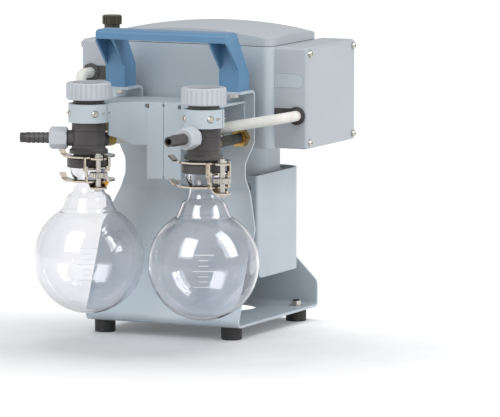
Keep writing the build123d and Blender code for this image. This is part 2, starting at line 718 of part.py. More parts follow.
def lid_form(drop, inset):
    """Shallow domed form of the lid, lowered by drop and drawn in by inset."""
    half = HOUSING_HALF_WIDTH - inset
    y0, y1 = HOUSING_FRONT_Y + inset, HOUSING_BACK_Y - inset
    low = HOUSING_HIGH_Z + LID_SEAM - (1 if inset else 0)
    top = HOUSING_HIGH_Z + LID_SEAM + LID_RIM + LID_RISE - drop
    body = rounded_block(-half, half, y0, y1, low, top, HOUSING_CORNER - inset)
    dome_radius = (HOUSING_HALF_WIDTH**2 + LID_RISE**2) / (2 * LID_RISE)
    dome = Pos(0, (y0 + y1) / 2, top - dome_radius) * Sphere(dome_radius)
    return body & dome


def housing_lid():
    """Domed lid with a lip that drops inside the housing."""
    body = lid_form(0, 0) - lid_form(LID_WALL, LID_WALL)
    w = HOUSING_WALL + 0.3
    half = HOUSING_HALF_WIDTH - w
    y0, y1 = HOUSING_FRONT_Y + w, HOUSING_BACK_Y - w
    low, high = HOUSING_HIGH_Z - 3, HOUSING_HIGH_Z + LID_SEAM + 3
    lip = rounded_block(-half, half, y0, y1, low, high, HOUSING_CORNER - w)
    t = 2.0
    lip -= rounded_block(-half + t, half - t, y0 + t, y1 - t, low - 1, high + 1, HOUSING_CORNER - w - t)
    out = w - 1
    rim = rounded_block(-half - out, half + out, y0 - out, y1 + out, high - 3, high, HOUSING_CORNER - 1)
    rim -= rounded_block(-half + t, half - t, y0 + t, y1 - t, high - 4, high + 1, HOUSING_CORNER - w - t)
    return body + lip + rim


# ---- Pump heads ----
def head_screw_points():
    """Places (y, z) of the screws round each pump head."""
    reach = (DIAPHRAGM_RADIUS + HEAD_RADIUS) / 2 * math.sqrt(0.5)
    return [(AXIS_Y + a * reach, CRANK_Z + b * reach) for a in (-1, 1) for b in (-1, 1)]


def cover_screw_points():
    """Places (y, z) of the screws in the corners of each head cover."""
    inset = COVER_SCREW_INSET
    ys = (COVER_FRONT_Y + inset, COVER_BACK_Y - inset)
    zs = (HOUSING_LOW_Z + inset, HOUSING_HIGH_Z - inset)
    return [(y, z) for y in ys for z in zs]


def port_slot(z, radius, x_end, y0, y1):
    """Slot that opens towards the housing and ends round at x_end."""
    slot = block(HOUSING_HALF_WIDTH - 1, x_end, y0, y1, z - radius, z + radius)
    return slot + bar((x_end, y0, z), (x_end, y1, z), radius)


def cover_form(inset, depth_inset):
    x0 = HOUSING_HALF_WIDTH - (1 if inset else 0)
    x1 = COVER_X - depth_inset
    y0, y1 = COVER_FRONT_Y + inset, COVER_BACK_Y - inset
    body = block(x0, x1, y0, y1, HOUSING_LOW_Z + inset, HOUSING_HIGH_Z - inset)
    along = body.edges().filter_by(Axis.X)
    outer = body.edges().group_by(Axis.X)[-1]
    return fillet(along + outer, max(COVER_EDGE - inset, 0.5))


def head_cover(side):
    """Box-shaped cover over one pump head, with two hose slots in its front wall."""
    body = cover_form(0, 0) - cover_form(COVER_WALL, COVER_WALL)
    if side == "left":
        hole = KNOB_STEM_RADIUS + RUNNING_CLEARANCE
        body -= post(hole, HOUSING_HIGH_Z - 2 * COVER_WALL, HOUSING_HIGH_Z + 1, -KNOB_X, KNOB_Y)
    for z in (PORT_LOW_Z, PORT_HIGH_Z):
        body -= port_slot(z, SLOT_RADIUS, PORT_X, COVER_FRONT_Y - 1, COVER_FRONT_Y + 2 * COVER_WALL)
    for y, z in cover_screw_points():
        body -= bar((COVER_X - 2 * COVER_WALL, y, z), (COVER_X + 1, y, z), COVER_SCREW_RADIUS)
    return on_side(body, side)


def cover_backplate():
    """Plate that closes the cover round the pump head and carries its screw posts."""
    gap = COVER_WALL + 0.2
    x0, x1 = HOUSING_HALF_WIDTH, HOUSING_HALF_WIDTH + 2.5
    y0, y1 = COVER_FRONT_Y + gap, COVER_BACK_Y - gap
    z0, z1 = HOUSING_LOW_Z + gap, HOUSING_HIGH_Z - gap
    body = block(x0, x1, y0, y1, z0, z1)
    body = fillet(body.edges().filter_by(Axis.X), max(COVER_EDGE - gap, 0.5) + 0.5)
    post_end = COVER_X - COVER_WALL
    for y, z in cover_screw_points():
        body += bar((x0, y, z), (post_end, y, z), COVER_POST_RADIUS)
        body -= bar((post_end - 10, y, z), (post_end + 1, y, z), COVER_SCREW_RADIUS)
    body -= bar((x0 - 1, AXIS_Y, CRANK_Z), (x1 + 1, AXIS_Y, CRANK_Z), HEAD_RADIUS + 0.5)
    for z in (PORT_LOW_Z, PORT_HIGH_Z):
        body -= port_slot(z, SLOT_RADIUS + 0.3, PORT_X, COVER_FRONT_Y, COVER_FRONT_Y + 4 * COVER_WALL)
    return body


def head_plate():
    """Inner plate of the head: clamps the diaphragm and roofs its chamber."""
    rim = DIAPHRAGM_THICKNESS
    roof = HOUSING_HALF_WIDTH + DIAPHRAGM_THICKNESS + 2 * CRANK_THROW + 3.5 - CRANK_THROW
    profile = [
        (HOUSING_HALF_WIDTH, HEAD_RADIUS),
        (HOUSING_HALF_WIDTH, DIAPHRAGM_RADIUS),
        (HOUSING_HALF_WIDTH + rim, DIAPHRAGM_RADIUS),
        (HOUSING_HALF_WIDTH + rim, CHAMBER_RADIUS),
        (roof, CHAMBER_RADIUS - 4),
        (roof, 0),
        (HEAD_FACE_X, 0),
        (HEAD_FACE_X, HEAD_RADIUS),
    ]
    body = turned_on_crank(profile)
    for z in (PORT_LOW_Z, PORT_HIGH_Z):
        body -= bar((roof - 1, AXIS_Y, z), (HEAD_FACE_X + 1, AXIS_Y, z), 4.0)
    for y, z in head_screw_points():
        body -= bar((HOUSING_HALF_WIDTH - 1, y, z), (HEAD_FACE_X + 1, y, z), HEAD_SCREW_RADIUS)
    return body


def head_lid():
    """Outer plate of the head: two valve pockets, each with a channel to a hose socket in front."""
    x1 = HEAD_FACE_X + HEAD_LID_THICKNESS
    body = turned_on_crank([(HEAD_FACE_X, 0), (HEAD_FACE_X, HEAD_RADIUS), (x1, HEAD_RADIUS), (x1, 0)])
    boss_x = COVER_X - COVER_WALL - 1.0
    front_y = AXIS_Y - HEAD_RADIUS + 2
    half = HOSE_RADIUS + 2.0
    for z in (PORT_LOW_Z, PORT_HIGH_Z):
        body += block(HEAD_FACE_X, boss_x, front_y, AXIS_Y + 9, z - half, z + half)
        body -= bar((HEAD_FACE_X - 1, AXIS_Y, z), (HEAD_FACE_X + 3, AXIS_Y, z), 8.0)
        body -= bar((HEAD_FACE_X, AXIS_Y, z), (PORT_X, AXIS_Y, z), HOSE_BORE - 0.4)
        body -= bar((PORT_X, AXIS_Y + HOSE_BORE + 1, z), (PORT_X, front_y - 1, z), HOSE_BORE)
        socket_end = (PORT_X, front_y + SOCKET_DEPTH, z)
        body -= bar(socket_end, (PORT_X, front_y - 1, z), HOSE_RADIUS + RUNNING_CLEARANCE)
    for y, z in head_screw_points():
        body -= bar((HEAD_FACE_X - 1, y, z), (x1 + 1, y, z), HEAD_SCREW_RADIUS)
        body -= bar((x1, y, z), (boss_x + 1, y, z), 4.6)
    return body


def socket_y():
    """Y of the bottom of the hose sockets in the head lids."""
    return AXIS_Y - HEAD_RADIUS + 2 + SOCKET_DEPTH


def valve_discs():
    """Elastic valve discs, two in each pump head."""
    solids = []
    for z in (PORT_LOW_Z, PORT_HIGH_Z):
        disc = bar((HEAD_FACE_X, AXIS_Y, z), (HEAD_FACE_X + VALVE_THICKNESS, AXIS_Y, z), VALVE_RADIUS)
        solids += both_sides(disc)
    return solids


def head_screws():
    """Screws of the pump heads and of their covers."""
    solids = []
    x1 = HEAD_FACE_X + HEAD_LID_THICKNESS
    for y, z in head_screw_points():
        length = x1 - HOUSING_HALF_WIDTH + HOUSING_WALL - 1.0
        solids += both_sides(pan_screw((x1, y, z), (-1, 0, 0), HEAD_SCREW_RADIUS, length, 4.3, 3.0))
    for y, z in cover_screw_points():
        screw = pan_screw((COVER_X, y, z), (-1, 0, 0), COVER_SCREW_RADIUS, COVER_WALL + 8, 3.4, 2.5)
        solids += both_sides(screw)
    return solids


def diaphragm(shift):
    """Elastic diaphragm with its middle moved outwards by shift."""
    x0 = HOUSING_HALF_WIDTH
    x1 = x0 + DIAPHRAGM_THICKNESS
    flat = SUPPORT_RADIUS + 1
    profile = [
        (x0, DIAPHRAGM_RADIUS),
        (x0, MOUTH_RADIUS),
        (x0 + shift, flat),
        (x0 + shift, STUD_RADIUS),
        (x1 + shift, STUD_RADIUS),
        (x1 + shift, flat),
        (x1, MOUTH_RADIUS),
        (x1, DIAPHRAGM_RADIUS),
    ]
    return turned_on_crank(profile)


def clamp_disc(shift):
    """Disc on the pressure side of the diaphragm, with the stud that screws into the rod."""
    x0 = HOUSING_HALF_WIDTH + shift
    x1 = x0 + DIAPHRAGM_THICKNESS
    profile = [
        (x0 - 7, 0),
        (x0 - 7, STUD_RADIUS),
        (x1, STUD_RADIUS),
        (x1, SUPPORT_RADIUS - 2),
        (x1 + 1.0, SUPPORT_RADIUS - 2),
        (x1 + 3.0, 6),
        (x1 + 3.0, 0),
    ]
    return turned_on_crank(profile)


def connecting_rod(side, shift):
    """Rod from the eccentric to one diaphragm, drawn on the right-hand side."""
    low = rod_levels()[side]
    centre = CRANK_THROW if side == "right" else -CRANK_THROW
    eye = post(ROD_OUTER, low, low + ROD_WIDTH, centre, AXIS_Y)
    end = HOUSING_HALF_WIDTH + shift
    jog = ROD_OUTER + CRANK_THROW + 7
    near = block(centre + ROD_BORE + 3, jog + 8, AXIS_Y - 7, AXIS_Y + 7, low, low + ROD_WIDTH)
    far = block(jog, end - 4, AXIS_Y - 6, AXIS_Y + 6, CRANK_Z - 6, CRANK_Z + 6)
    body = eye + near + far + bar((end - 5, AXIS_Y, CRANK_Z), (end, AXIS_Y, CRANK_Z), SUPPORT_RADIUS)
    body -= post(ROD_BORE, low - 1, low + ROD_WIDTH + 1, centre, AXIS_Y)
    body -= bar((end - 7, AXIS_Y, CRANK_Z), (end + 1, AXIS_Y, CRANK_Z), STUD_RADIUS)
    return body


def rod_bearing(side):
    """Roller bearing in a rod's big end, running on the eccentric."""
    low = rod_levels()[side]
    inner = ECCENTRIC_RADIUS + RUNNING_CLEARANCE
    middle = (inner + ROD_BORE) / 2
    profile = [
        (inner, low),
        (middle - 1, low),
        (middle - 1, low + 1),
        (middle + 1, low + 1),
        (middle + 1, low),
        (ROD_BORE, low),
        (ROD_BORE, low + ROD_WIDTH),
        (inner, low + ROD_WIDTH),
    ]
    return turned(profile, CRANK_THROW, AXIS_Y)


def port_fitting():
    """Black hose bush: fills the slot and stands round the hose as a collar."""
    y0, y1 = COVER_FRONT_Y - 2.0, COVER_FRONT_Y + COVER_WALL + 2
    slot = port_slot(0, SLOT_RADIUS - 0.1, PORT_X, COVER_FRONT_Y - 0.8, y1)
    slot &= block(HOUSING_HALF_WIDTH + 0.1, COVER_X, y0, y1, -20, 20)
    collar = bar((PORT_X, y0, 0), (PORT_X, COVER_FRONT_Y, 0), COLLAR_RADIUS)
    bore = bar((PORT_X, y0 - 1, 0), (PORT_X, y1 + 1, 0), HOSE_RADIUS + RUNNING_CLEARANCE)
    return slot + collar - bore


def port_fittings():
    fitting = port_fitting()
    return [Pos(0, 0, PORT_LOW_Z) * fitting, Pos(0, 0, PORT_HIGH_Z) * on_side(fitting, "left")]


def port_blank():
    """Plain plug that closes an unused slot flush with the cover."""
    y1 = COVER_FRONT_Y + COVER_WALL + 1
    slot = port_slot(0, SLOT_RADIUS - 0.15, PORT_X, COVER_FRONT_Y, y1)
    return slot & block(HOUSING_HALF_WIDTH + 0.1, COVER_X, COVER_FRONT_Y, y1, -20, 20)


def port_blanks():
    blank = port_blank()
    return [Pos(0, 0, PORT_HIGH_Z) * blank, Pos(0, 0, PORT_LOW_Z) * on_side(blank, "left")]


# ---- Separator heads ----
def head_centre(side):
    return SIDES[side] * HEAD_X, HEAD_Y


def seat_radius(z, extra):
    """Radius of the spherical seat, or of the flask's ball, at height z."""
    rise = z - JOINT_CENTRE_Z
    return math.sqrt((BALL_RADIUS + extra) ** 2 - rise**2)


def separator_head(side):
    """Moulded head: threaded neck, body with hose sockets, and the cup of the spherical joint."""
    cup_low = JOINT_CENTRE_Z + 1.0
    cup_high = BODY_FLANGE_Z - 3.4
    outer = Polyline(
        (seat_radius(cup_low, SEAT_GAP), 0, cup_low),
        (CUP_RADIUS, 0, cup_low),
        (CUP_RADIUS, 0, cup_high - 1.5),
        (CUP_RADIUS - 1.5, 0, cup_high),
        (CUP_NECK, 0, cup_high),
        (CUP_NECK, 0, BODY_FLANGE_Z),
        (BODY_FLANGE_RADIUS, 0, BODY_FLANGE_Z),
        (BODY_FLANGE_RADIUS, 0, BODY_FLANGE_Z + 3),
        (BODY_RADIUS, 0, BODY_FLANGE_Z + 5),
        (BODY_RADIUS, 0, RING_HIGH_Z),
        (NECK_CORE, 0, RING_HIGH_Z),
        (NECK_CORE, 0, CAP_LOW_Z + 0.5),
        (THREAD_RADIUS, 0, CAP_LOW_Z + 1),
        (THREAD_RADIUS, 0, CAP_HIGH_Z - 3.3),
        (PLUG_RADIUS, 0, CAP_HIGH_Z - 3.3),
        (PLUG_RADIUS, 0, PLUG_LOW_Z),
        (BODY_BORE, 0, PLUG_LOW_Z),
        (BODY_BORE, 0, seat_top()),
    )
    seat = ThreePointArc(
        (BODY_BORE, 0, seat_top()),
        (seat_radius((seat_top() + cup_low) / 2, SEAT_GAP), 0, (seat_top() + cup_low) / 2),
        (seat_radius(cup_low, SEAT_GAP), 0, cup_low),
    )
    body = revolve(make_face([outer, seat]), Axis.Z)
    for z in (BODY_FLANGE_Z + 8, RING_LOW_Z - 8.5):
        body -= post(BODY_RADIUS + 1, z, z + 0.8) - post(BODY_RADIUS - 0.5, z, z + 0.8)
    for angle, z, radius in head_sockets(side):
        turn = Pos(0, 0, z) * Rot(0, 0, angle) * Rot(0, 90, 0)
        body += turn * post(radius, 12.5, SOCKET_REACH)
        body -= turn * post(HOSE_BORE, 5, SOCKET_REACH + 1)
        body -= turn * post(HOSE_RADIUS + RUNNING_CLEARANCE, SOCKET_START - 0.3, SOCKET_REACH + 1)
    x, y = head_centre(side)
    return Pos(x, y, 0) * body


def seat_top():
    """Height where the spherical seat meets the head's bore."""
    return JOINT_CENTRE_Z + math.sqrt((BALL_RADIUS + SEAT_GAP) ** 2 - BODY_BORE**2)


def head_sockets(side):
    """Side sockets of a head: (angle, z, outer radius)."""
    if side == "left":
        return [
            (INLET_NOZZLE_ANGLE, INLET_NOZZLE_Z, NOZZLE_SOCKET_RADIUS),
            (HOSE_A_ANGLE, HOSE_A_Z, HOSE_SOCKET_RADIUS),
            (HOSE_B_ANGLE, HOSE_B_Z, HOSE_SOCKET_RADIUS),
        ]
    return [
        (OUTLET_NOZZLE_ANGLE, OUTLET_NOZZLE_Z, NOZZLE_SOCKET_RADIUS),
        (90.0, OUTLET_PORT_Z, HOSE_SOCKET_RADIUS),
    ]


def neck_plugs():
    """Plugs that close the separator heads' necks under the screw caps."""
    solids = []
    for side in SIDES:
        x, y = head_centre(side)
        profile = [
            (0, PLUG_LOW_Z + 0.2),
            (PLUG_RADIUS - 0.2, PLUG_LOW_Z + 0.2),
            (PLUG_RADIUS - 0.2, CAP_HIGH_Z - 3.2),
            (CAP_OPENING + 0.8, CAP_HIGH_Z - 3.2),
            (CAP_OPENING + 0.8, CAP_HIGH_Z - 2.7),
            (PLUG_RADIUS - 2, CAP_HIGH_Z - 2.7),
            (PLUG_RADIUS - 4, CAP_HIGH_Z - 5.5),
            (0, CAP_HIGH_Z - 5.5),
        ]
        solids.append(turned(profile, x, y))
    return solids


def screw_cap(side):
    """Ribbed screw cap with a wide opening in its top."""
    body = fluted(CAP_RADIUS, 0.7, CAP_RIBS, CAP_LOW_Z, CAP_HIGH_Z, 1.2)
    body -= post(THREAD_RADIUS + RUNNING_CLEARANCE, CAP_LOW_Z - 1, CAP_HIGH_Z - 2.6)
    body -= post(CAP_OPENING, CAP_HIGH_Z - 4, CAP_HIGH_Z + 1)
    x, y = head_centre(side)
    return Pos(x, y, 0) * body


def nozzle_place(side):
    """Placing of a nozzle that is drawn upright from its head's axis."""
    places = {"left": (INLET_NOZZLE_ANGLE, INLET_NOZZLE_Z), "right": (OUTLET_NOZZLE_ANGLE, OUTLET_NOZZLE_Z)}
    angle, z = places[side]
    x, y = head_centre(side)
    return Pos(x, y, z) * Rot(0, 0, angle) * Rot(0, 90, 0)


def nozzle(side):
    """Hose nozzle with barbs and a plain land at its tip, pushed into a head."""
    collar = SOCKET_REACH + 0.2
    land = NOZZLE_LENGTH - NOZZLE_LAND
    profile = [
        (HOSE_BORE, SOCKET_START),
        (HOSE_RADIUS, SOCKET_START),
        (HOSE_RADIUS, collar),
        (7.0, collar),
        (7.0, collar + 5.0),
        (HOSE_RADIUS - 0.5, collar + 5.0),
    ]
    pitch = (land - BARB_START) / BARBS
    for index in range(BARBS):
        at = BARB_START + index * pitch
        profile += [(NOZZLE_TIP_RADIUS, at), (NOZZLE_RADIUS + 0.2, at + 0.2)]
    profile += [
        (NOZZLE_TIP_RADIUS, land),
        (NOZZLE_TIP_RADIUS, NOZZLE_LENGTH - NOZZLE_CHAMFER),
        (NOZZLE_TIP_RADIUS - NOZZLE_CHAMFER, NOZZLE_LENGTH),
        (NOZZLE_BORE, NOZZLE_LENGTH),
    ]
    return nozzle_place(side) * turned(profile)


def union_nuts():
    """Hexagonal union nuts that hold the nozzles."""
    low = SOCKET_REACH + 1.0
    high = low + UNION_NUT_LENGTH
    plan = RegularPolygon(UNION_NUT_FLATS / 2, 6, major_radius=False)
    hexagon = Pos(0, 0, low) * extrude(plan, high - low)
    trim = UNION_NUT_FLATS * 0.56
    form = [(0, low), (trim - 1.2, low), (trim, low + 1.5), (trim, high - 2), (trim - 2, high), (0, high)]
    nut = hexagon & turned(form)
    nut -= post(NOZZLE_SOCKET_RADIUS + 0.5, low - 1, low + 5)
    nut -= post(HOSE_RADIUS - 0.2, low, high + 1)
    return [nozzle_place(side) * nut for side in SIDES]


# ---- Separator brackets ----
def separator_bracket(side):
    """Folded half bracket: rear flange, top flange, half panel, arm and rear half of the head's ring."""
    t = BRACKET_SHEET
    top = BRACKET_TOP_Z
    rear = block(SEAM / 2, BRACKET_REAR_HALF_WIDTH, UPRIGHT_Y - t, UPRIGHT_Y, BRACKET_REAR_LOW_Z, top)
    panel = block(SEAM / 2, PANEL_HALF_WIDTH, PANEL_Y - t, PANEL_Y, PANEL_LOW_Z, top)
    arm_start = (PANEL_HALF_WIDTH - 0.5, PANEL_Y - t / 2)
    toward = math.atan2(HEAD_Y - arm_start[1], HEAD_X - arm_start[0])
    ring = RING_RADIUS - 0.8
    arm_end = (HEAD_X - ring * math.cos(toward + 0.35), HEAD_Y - ring * math.sin(toward + 0.35))
    curve = ThreePointArc(
        arm_start,
        ((arm_start[0] + arm_end[0]) / 2 + 2.5, (arm_start[1] + arm_end[1]) / 2 + 3.5),
        arm_end,
    )
    strip = trace(curve, line_width=t)
    arm_low = PANEL_LOW_Z + 32.0
    arm = Pos(0, 0, arm_low) * extrude(strip, top - arm_low)
    slope = [(arm_start[0] + 9, arm_low - 1), (HEAD_X, RING_LOW_Z), (HEAD_X, arm_low - 1)]
    outline = Polyline(*[(x, 0, z) for x, z in slope], close=True)
    arm -= extrude(make_face(outline), 60, both=True, dir=(0, 1, 0))
    flange_outline = [
        curve,
        Line(arm_end, (BRACKET_REAR_HALF_WIDTH, -8)),
        Line((BRACKET_REAR_HALF_WIDTH, -8), (BRACKET_REAR_HALF_WIDTH, UPRIGHT_Y)),
        Line((BRACKET_REAR_HALF_WIDTH, UPRIGHT_Y), (SEAM / 2, UPRIGHT_Y)),
        Line((SEAM / 2, UPRIGHT_Y), (SEAM / 2, PANEL_Y - t / 2)),
        Line((SEAM / 2, PANEL_Y - t / 2), arm_start),
    ]
    flange = Pos(0, 0, top - t) * extrude(make_face(flange_outline), t)
    body = rear + panel + arm + flange
    band = post(RING_RADIUS, RING_LOW_Z, RING_HIGH_Z, HEAD_X, HEAD_Y)
    body -= band
    ring_half = band - post(BODY_RADIUS, RING_LOW_Z - 1, RING_HIGH_Z + 1, HEAD_X, HEAD_Y)
    body += ring_half & block(HEAD_X - 40, HEAD_X + 40, HEAD_Y + RING_GAP / 2, HEAD_Y + 40, 0, 400)
    for index in (0, 1):
        body -= ring_screw_hole(math.pi * index)
    for z in (top - 3.0, PANEL_LOW_Z + 1.5):
        body -= bar((0, PANEL_Y - 2 * t, z), (0, PANEL_Y + t, z), 1.3)
    notch_x = PANEL_HALF_WIDTH - 2.5
    body -= block(notch_x, notch_x + 4, PANEL_Y - 2 * t, PANEL_Y + 0.5, top - 6, top - t)
    for x, z in frame_bolt_points():
        if x > 0:
            body -= bar((x, UPRIGHT_Y - 2 * t, z), (x, UPRIGHT_Y + t, z), BOLT_RADIUS)
    return on_side(body, side)


def ring_screw_hole(way):
    """Space of a ring screw, which runs from the front half into the rear half of a ring."""
    reach = (BODY_RADIUS + RING_RADIUS) / 2 + 0.2
    x = HEAD_X + reach * math.cos(way)
    y = HEAD_Y + reach * math.sin(way)
    z = (RING_LOW_Z + RING_HIGH_Z) / 2
    return bar((x, y - 9.0, z), (x, y + 8.0, z), 1.1)


def clamp_rings():
    """Front halves of the rings round the separator heads."""
    band = post(RING_RADIUS, RING_LOW_Z, RING_HIGH_Z, HEAD_X, HEAD_Y)
    band -= post(BODY_RADIUS, RING_LOW_Z - 1, RING_HIGH_Z + 1, HEAD_X, HEAD_Y)
    band &= block(HEAD_X - 40, HEAD_X + 40, HEAD_Y - 40, HEAD_Y - RING_GAP / 2, 0, 400)
    z = (RING_LOW_Z + RING_HIGH_Z) / 2
    for angle in RING_SCREW_ANGLES:
        way = (math.cos(math.radians(angle)), math.sin(math.radians(angle)))
        face = (HEAD_X + way[0] * RING_RADIUS, HEAD_Y + way[1] * RING_RADIUS, z)
        deep = (HEAD_X + way[0] * (RING_RADIUS - 1.6), HEAD_Y + way[1] * (RING_RADIUS - 1.6), z)
        band -= bar(deep, (face[0] + way[0], face[1] + way[1], z), 3.4)
        band -= bar((HEAD_X, HEAD_Y, z), deep, 1.6)
    for index in (0, 1):
        band -= ring_screw_hole(math.pi * index)
    return both_sides(band)


def ring_screws():
    """Pan-head screws sunk in the front halves of the rings."""
    solids = []
    z = (RING_LOW_Z + RING_HIGH_Z) / 2
    for angle in RING_SCREW_ANGLES:
        way = (math.cos(math.radians(angle)), math.sin(math.radians(angle)), 0)
        seat = RING_RADIUS - 1.6
        start = (HEAD_X + way[0] * seat, HEAD_Y + way[1] * seat, z)
        length = seat - BODY_RADIUS
        screw = pan_screw(start, (-way[0], -way[1], 0), 1.6, length, 3.1, 2.4)
        solids += both_sides(screw)
    for index in (0, 1):
        solids += both_sides(ring_screw_hole(math.pi * index))
    return solids


# ---- Flasks ----
def flask_line(inset):
    """Wall line of a flask from its lowest point to the joint, drawn in by inset."""
    radius = FLASK_RADIUS - inset
    angle = math.acos(FLASK_SHOULDER / FLASK_RADIUS)
    shoulder = (radius * math.cos(angle), 0, FLASK_CENTRE_Z + radius * math.sin(angle))
    low_angle = angle / 2 - math.pi / 4
    side = (radius * math.cos(low_angle), 0, FLASK_CENTRE_Z + radius * math.sin(low_angle))
    neck = FLASK_NECK_RADIUS - inset
    corner_z = shoulder[2] + (shoulder[0] - neck) * math.cos(angle) / math.sin(angle)
    bowl = ThreePointArc((0, 0, FLASK_CENTRE_Z - radius), side, shoulder)
    ball_low = JOINT_CENTRE_Z - math.sqrt(BALL_RADIUS**2 - FLASK_NECK_RADIUS**2)
    throat = FilletPolyline(shoulder, (neck, 0, corner_z), (neck, 0, ball_low), radius=14.0 + inset)
    return [bowl, throat], (neck, 0, ball_low)


def flask(side):
    """Blown round flask whose neck ends in the ball of a spherical joint."""
    outer, neck_end = flask_line(0)
    inner, bore_end = flask_line(FLASK_WALL)
    bore = bore_end[0]
    ball_top = JOINT_CENTRE_Z + math.sqrt(BALL_RADIUS**2 - bore**2) - 1.0
    rim = math.sqrt(BALL_RADIUS**2 - (ball_top - JOINT_CENTRE_Z) ** 2)
    ball = ThreePointArc(neck_end, (BALL_RADIUS, 0, JOINT_CENTRE_Z), (rim, 0, ball_top))
    lines = outer + inner + [
        ball,
        Line((rim, 0, ball_top), (bore, 0, ball_top)),
        Line((bore, 0, ball_top), bore_end),
        Line((0, 0, FLASK_CENTRE_Z - FLASK_RADIUS), (0, 0, FLASK_CENTRE_Z - FLASK_RADIUS + FLASK_WALL)),
    ]
    x, y = head_centre(side)
    return Pos(x, y, 0) * revolve(make_face(lines), Axis.Z)


# ---- Joint clamps: drawn with the screw on +X of the joint's axis, then turned into place ----
def clamp_place(side):
    x, y = head_centre(side)
    return Pos(x, y, 0) * Rot(0, 0, CLAMP_ANGLES[side])


def fork(inner, low, tip_lift):
    """Open-ended flat fork with a screw pad and two bent-up tips."""
    plan = Circle(FORK_HALF_WIDTH) - Circle(inner)
    plan -= Pos(-FORK_HALF_WIDTH, 0) * Rectangle(2 * FORK_HALF_WIDTH, 2 * inner)
    plan -= Pos(-FORK_TIP - 20, 0) * Rectangle(40, 4 * FORK_HALF_WIDTH)
    plate = Pos(0, 0, low) * extrude(plan, FORK_SHEET)
    tips = []
    for sign in (-1, 1):
        tip = Box(9.0, 6.0, FORK_SHEET, align=(Align.MAX, Align.CENTER, Align.MIN))
        tips.append(Pos(-FORK_TIP + 1.0, sign * (inner + 3.5), low) * Rot(0, tip_lift, 0) * tip)
    return plate + tips[0] + tips[1]


def cheeks(y0, y1, low, high):
    """Pair of hinge ears either side of the clamp's middle."""
    ear = block(HINGE_REACH - 2.6, HINGE_REACH + 2.6, y0, y1, low, high)
    return ear + mirror(ear, about=Plane.XZ)


def clamp_upper_fork():
    """Fork on the head's cup, with the screw's upper pad."""
    low = BODY_FLANGE_Z - 3.2
    body = fork(CUP_NECK + 0.6, low, TIP_LIFT)
    body += post(PAD_RADIUS, low, low + FORK_SHEET, SCREW_REACH)
    body += cheeks(11.0, 12.5, HINGE_Z - 2.6, low + FORK_SHEET)
    body -= post(SCREW_RADIUS, low - 1, low + 4, SCREW_REACH)
    body -= bar((HINGE_REACH, -20, HINGE_Z), (HINGE_REACH, 20, HINGE_Z), PIN_RADIUS)
    return body


def clamp_lower_fork(side):
    """Fork under the flask's ball, with a dished outer pad that the nut bears on."""
    low = fork_low_z()
    pad_low = low - PAD_DROP
    body = fork(FLASK_NECK_RADIUS + 0.6, low, TIP_LIFT)
    pad = post(PAD_RADIUS, pad_low, pad_low + FORK_SHEET, SCREW_REACH)
    ramp = [
        (FLASK_NECK_RADIUS + 4, low),
        (FLASK_NECK_RADIUS + 4, low + FORK_SHEET),
        (HINGE_REACH - 2, low + FORK_SHEET),
        (SCREW_REACH, pad_low + FORK_SHEET),
        (SCREW_REACH, pad_low),
        (HINGE_REACH - 2.6, low),
    ]
    strip = make_face(Polyline(*[(x, 0, z) for x, z in ramp], close=True))
    body += pad + extrude(strip, PAD_RADIUS, both=True, dir=(0, 1, 0))
    ears = cheeks(9.2, 10.7, low, HINGE_Z + 2.4)
    feet_of_ears = block(HINGE_REACH - 2.6, HINGE_REACH + 1, -10.7, 10.7, low, low + FORK_SHEET)
    body += ears + feet_of_ears
    slot = post(SCREW_RADIUS + 0.9, pad_low - 1, low + 4, SCREW_REACH - 0.5)
    slot += post(SCREW_RADIUS + 0.9, pad_low - 1, low + 4, SCREW_REACH + 1.0)
    body -= slot
    body -= bar((HINGE_REACH, -20, HINGE_Z), (HINGE_REACH, 20, HINGE_Z), PIN_RADIUS + RUNNING_CLEARANCE)
    return clamp_place(side) * body


def fork_low_z():
    """Underside of the lower fork: its inner edge lies just under the flask's ball."""
    drop = math.sqrt(BALL_RADIUS**2 - (FLASK_NECK_RADIUS + 0.6) ** 2)
    return JOINT_CENTRE_Z - drop - FORK_SHEET - 0.3


def clamp_upper_forks():
    return [clamp_place(side) * clamp_upper_fork() for side in SIDES]


def clamp_screws():
    """Screws and hinge pins of the two clamps."""
    solids = []
    top = BODY_FLANGE_Z - 3.2 + FORK_SHEET
    for side in SIDES:
        low = fork_low_z() - PAD_DROP - 0.5
        screw = post(SCREW_RADIUS, low, top + 4.0, SCREW_REACH)
        screw += post(4.0, low - 2.0, low, SCREW_REACH)
        nut = Pos(SCREW_REACH, 0, top) * extrude(RegularPolygon(4.2, 6), 2.4)
        pin = bar((HINGE_REACH, -13.2, HINGE_Z), (HINGE_REACH, 13.2, HINGE_Z), PIN_RADIUS)
        solids += [clamp_place(side) * (screw + nut), clamp_place(side) * pin]
    return solids


def clamp_nut(side):
    """Knurled thumb nut on a clamp's screw."""
    nut = fluted(CLAMP_NUT_RADIUS, 0.5, 24, CLAMP_NUT_Z, CLAMP_NUT_Z + CLAMP_NUT_HEIGHT, 0.6)
    nut -= post(SCREW_RADIUS + RUNNING_CLEARANCE, CLAMP_NUT_Z - 1, CLAMP_NUT_Z + 10)
    return clamp_place(side) * Pos(SCREW_REACH, 0, 0) * nut


# ---- Hoses ----
def socket_point(side, angle, z, reach):
    """Point at a reach from a head's axis, along the direction of a side socket."""
    x, y = head_centre(side)
    way = math.radians(angle)
    return (x + reach * math.cos(way), y + reach * math.sin(way), z)


def tube(points, radii):
    """Hose along straight runs joined by arcs."""
    path = FilletPolyline(*points, radius=radii)
    start = Plane(origin=path @ 0, z_dir=path % 0)
    ring = start * (Circle(HOSE_RADIUS) - Circle(HOSE_BORE))
    hose = sweep(ring, path=path)
    print("hose length", round(path.length), "mm, bend radii", radii)
    return hose


